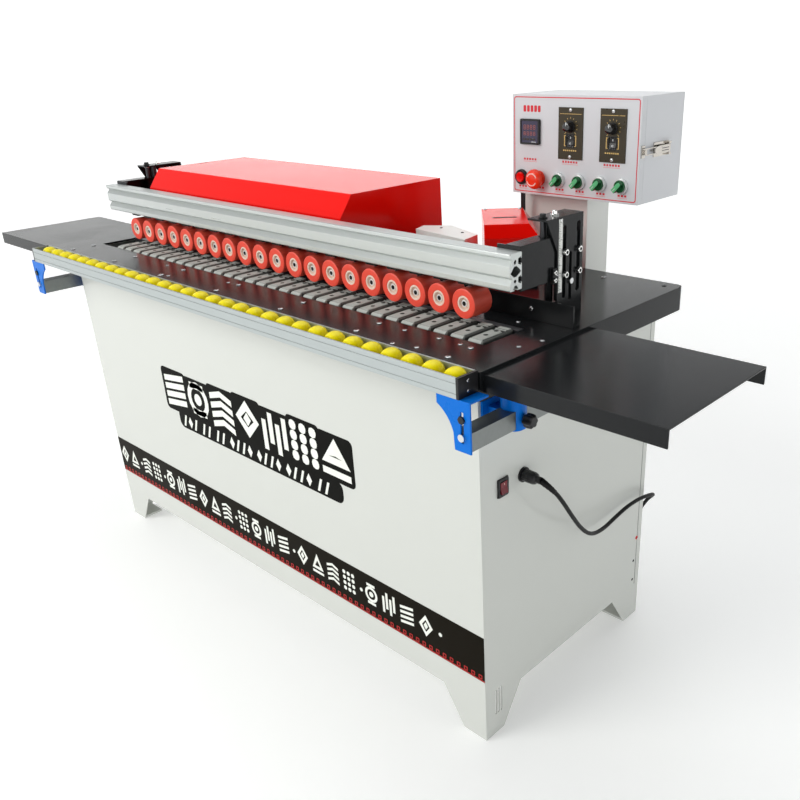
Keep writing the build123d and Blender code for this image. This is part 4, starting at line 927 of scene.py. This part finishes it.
def add_knobs():
    for i, side in enumerate(("left", "right")):
        x, z, y = DIALS[i], BOX_Z + 134, BOX_Y - 2
        form = Form()
        form.lathe("y", x, z, [(0, y - 0.4), (11, y - 0.4), (11, y - 2.6), (9.6, y - 3.6),
                               (9.0, y - 12.5), (0, y - 12.5)], MATS["black_plastic"], 48, lobes=12,
                   depth=0.07)
        form.lathe("y", x, z, [(0, y - 12.4), (8.6, y - 12.4), (8.2, y - 15.2), (6.8, y - 16),
                               (0, y - 15.6)], MATS["black_gloss"], 32)
        form.block(x - 0.6, x + 0.6, y - 16.1, y - 12, z + 2, z + 8.8, MATS["bezel"])
        form.disc("y", x, z, BOX_Y - 2.5, BOX_Y + 10, 3, MATS["steel"], 16)
        form.done("speed_dial_" + side, f"speed_knob_{side}_body", "black_plastic",
                  (f"speed_knob_{side}",), bevel=0.25)
        paint(f"speed_rocker_{side}", MATS["black_plastic"])
        form = Form()
        form.turn = Matrix.Translation((x, BOX_Y + 2, BOX_Z + 108)) @ Matrix.Rotation(math.radians(-8), 4,
                                                                                      "X")
        form.block(-0.7, 0.7, -3.75, -3.3, 3.5, 6.8, MATS["bezel"])
        form.band("y", rounded(-1.8, 1.8, -6.8, -3.2, 1.7, 3), rounded(-1.1, 1.1, -6.1, -3.9, 1, 3), -3.7,
                  -3.25, MATS["bezel"])
        form.done("rocker_marks_" + side, f"speed_rocker_{side}_body", "black_plastic")
    for i in range(4):
        x, z, y = 448 + 48.7 * i, 950.5, BOX_Y
        form = Form()
        form.turn = Matrix.Translation((x, 0, z)) @ Matrix.Rotation(math.radians(45), 4, "Y")
        form.lathe("y", 0, 0, [(0, y - 5.3), (11.5, y - 5.3), (11.5, y - 8), (10.6, y - 9), (0, y - 9)],
                   MATS["green_plastic"], 36)
        grip = [(-4.2, -12), (4.2, -12), (4.4, 6), (2.6, 10.6), (-2.6, 10.6), (-4.4, 6)]
        form.prism("y", grip, y - 18, y - 8.8, MATS["green_plastic"])
        form.prism("y", [(p * 0.9, q * 0.96) for p, q in grip], y - 19, y - 17.9, MATS["green_light"])
        form.block(-0.7, 0.7, y - 19.1, y - 18.9, -10.5, -3, MATS["bezel"])
        form.disc("y", 0, 0, y - 6, y + 10, 4, MATS["black_plastic"], 16)
        form.done(f"selector_grip_{i + 1}", f"selector_{i + 1}_body", "green_plastic",
                  (f"selector_{i + 1}",), bevel=0.6)
    x, z, y = BOX_X + 24, 950.5, BOX_Y
    form = Form()
    form.lathe("y", x, z, [(0, y - 1), (10, y - 1), (10, y - 7.4), (9, y - 8.8), (7.5, y - 8.6),
                           (0, y - 7.9)], MATS["red_plastic"], 36)
    form.disc("y", x, z, y - 2, y + 10, 4, MATS["black_plastic"], 16)
    form.done("stop_cap", "stop_button_body", "red_plastic", ("stop_button",))
    x = BOX_X + 68
    form = Form()
    dome = [(0, y - 12), (17.6, y - 12), (19.5, y - 14), (19.3, y - 18), (17.6, y - 21.6),
            (14.0, y - 24.4), (8, y - 25.8)]
    form.lathe("y", x, z, dome + [(0, y - 26)], MATS["orange_plastic"], 44)
    form.lathe("y", x, z, [(0, y - 6), (10, y - 6), (10.6, y - 12.2), (0, y - 12.2)],
               MATS["orange_plastic"], 32)
    form.disc("y", x, z, y - 6.2, y + 10, 4, MATS["black_plastic"], 16)
    for start in (20, 200):
        arc = [math.radians(start + 12 * k) for k in range(12)]
        outer = [(12.6, a) for a in arc]
        inner = [(10.6, a) for a in reversed(arc)]
        points = [(x + r * math.cos(a), z + r * math.sin(a)) for r, a in outer + inner]
        form.prism("y", points, y - 25.75, y - 24.2, MATS["pale_print"])
    form.done("mushroom_head", "estop_button_body", "red_plastic", ("estop_button",))


def finish_box():
    dark = lambda x, y, z, n: 333 < x < 629 and 262 < y < 392 and 920 < z < 1106
    paint("control_box", MATS["box_paint"], (lambda x, y, z, n: x > 631.2, MATS["nickel"]),
          (lambda x, y, z, n: dark(x, y, z, n) and 985 < z < 1064, MATS["black_plastic"]))
    ring = lambda x, y, z, n: z < 966 and ((y < 244.8 and n.y < 0.9) or y > 262)
    plates = lambda x, y, z, n: y < 244.9 and z > 985 and x > 440
    cases = lambda x, y, z, n: y > 262 or (y < 244.9 and z > 985)
    catch = lambda x, y, z, n: x > 631.1 or x < 330.9
    stop = lambda x, y, z, n: ring(x, y, z, n) and x < 375
    mushroom = lambda x, y, z, n: ring(x, y, z, n) and x < 420
    paint("control_door", MATS["box_paint"], (catch, MATS["nickel"]), (stop, MATS["black_plastic"]),
          (mushroom, MATS["orange_plastic"]), (ring, MATS["bezel"]),
          (plates, MATS["plate"]), (cases, MATS["black_plastic"]))
    form = Form()
    x = 631.0
    for y in (281, 287, 324, 331):
        form.screw("x", y, 1013, x + 1.4, 1.0, 2.0, "nickel")
    form.done("latch_rivets", "machine", "nickel")
    form = Form()
    lever = [(338.5, 1006.5), (338.5, 1019.5), (322, 1020.4), (300, 1020.2), (290, 1019.0), (284, 1016.8),
             (284, 1009.2), (290, 1007.0), (300, 1005.8), (322, 1005.6)]
    form.prism("x", lever, x + 6.1, x + 8.9, MATS["nickel"])
    form.prism("x", [(337, 1008.2), (337, 1017.8), (304, 1018.0), (304, 1008.0)], x + 8.8, x + 9.0,
               MATS["nickel"])
    form.lathe("z", x + 5, 338.5, [(2.1, 1005.5), (3.2, 1005.5), (3.2, 1020.5), (2.1, 1020.5),
                                   (2.1, 1005.5)], MATS["nickel"], 24)
    for z in (1006.6, 1017.6):
        form.block(x + 6.2, x + 8.2, 256, 290, z, z + 1.8, MATS["nickel"])
    form.block(x + 6.2, x + 8.2, 252, 256.2, 1006.6, 1019.4, MATS["nickel"])
    for z in (1010, 1014.4):
        form.block(x + 8.7, x + 9.3, 308, 332, z, z + 1.2, MATS["dark_steel"])
    form.done("toggle_latch", "door_latch_body", "nickel", ("door_latch",), bevel=0.5)


def finish_inlet():
    form = Form()
    y, z, x = -208.0, 527.0, 679.0
    form.band("x", rounded(y - 13, y + 13, z - 17, z + 17, 3), rounded(y - 8.9, y + 8.9, z - 12.3,
                                                                       z + 12.3, 1.5), x - 0.4, x + 1.0,
              MATS["black_plastic"])
    form.done("switch_frame", "machine", "black_plastic", bevel=0.3)
    form = Form()
    form.turn = Matrix.Translation((678, y, z)) @ Matrix.Rotation(math.radians(-6), 4, "Y")
    form.block(3.5, 3.8, -0.6, 0.6, 5, 8.5, MATS["pale_print"])
    form.done("switch_mark", "cabinet_switch_body", "red_plastic")


def finish_star_knobs():
    for sx, side in ((-1, "left"), (1, "right")):
        form = Form()
        y, z = -229.5, 677.0
        at = [(0, 742.5), (8.6, 742.5), (11.6, 745), (12.1, 752), (11.4, 758.5), (9, 760.6), (0, 761)]
        form.lathe("x", y, z, [(r, sx * a) for r, a in at], MATS["black_plastic"], 60, lobes=6, depth=0.18)
        form.lathe("x", y, z, [(r, sx * a) for r, a in ((0, 735.4), (4, 735.4), (4, 743), (0, 743))],
                   MATS["steel"], 16)
        form.done("star_grip_" + side, f"star_knob_{side}_body", "black_plastic", (f"star_knob_{side}",),
                  bevel=0.3)


add_camera()
MATS = palette()
add_cord()
add_studio()
add_cabinet_prints()
finish_cabinet()
add_rollers()
add_axle_bolts()
add_pads()
add_rail_wheels()
finish_rail()
finish_beam()
finish_covers()
add_door_face()
add_knobs()
finish_box()
finish_inlet()
finish_star_knobs()
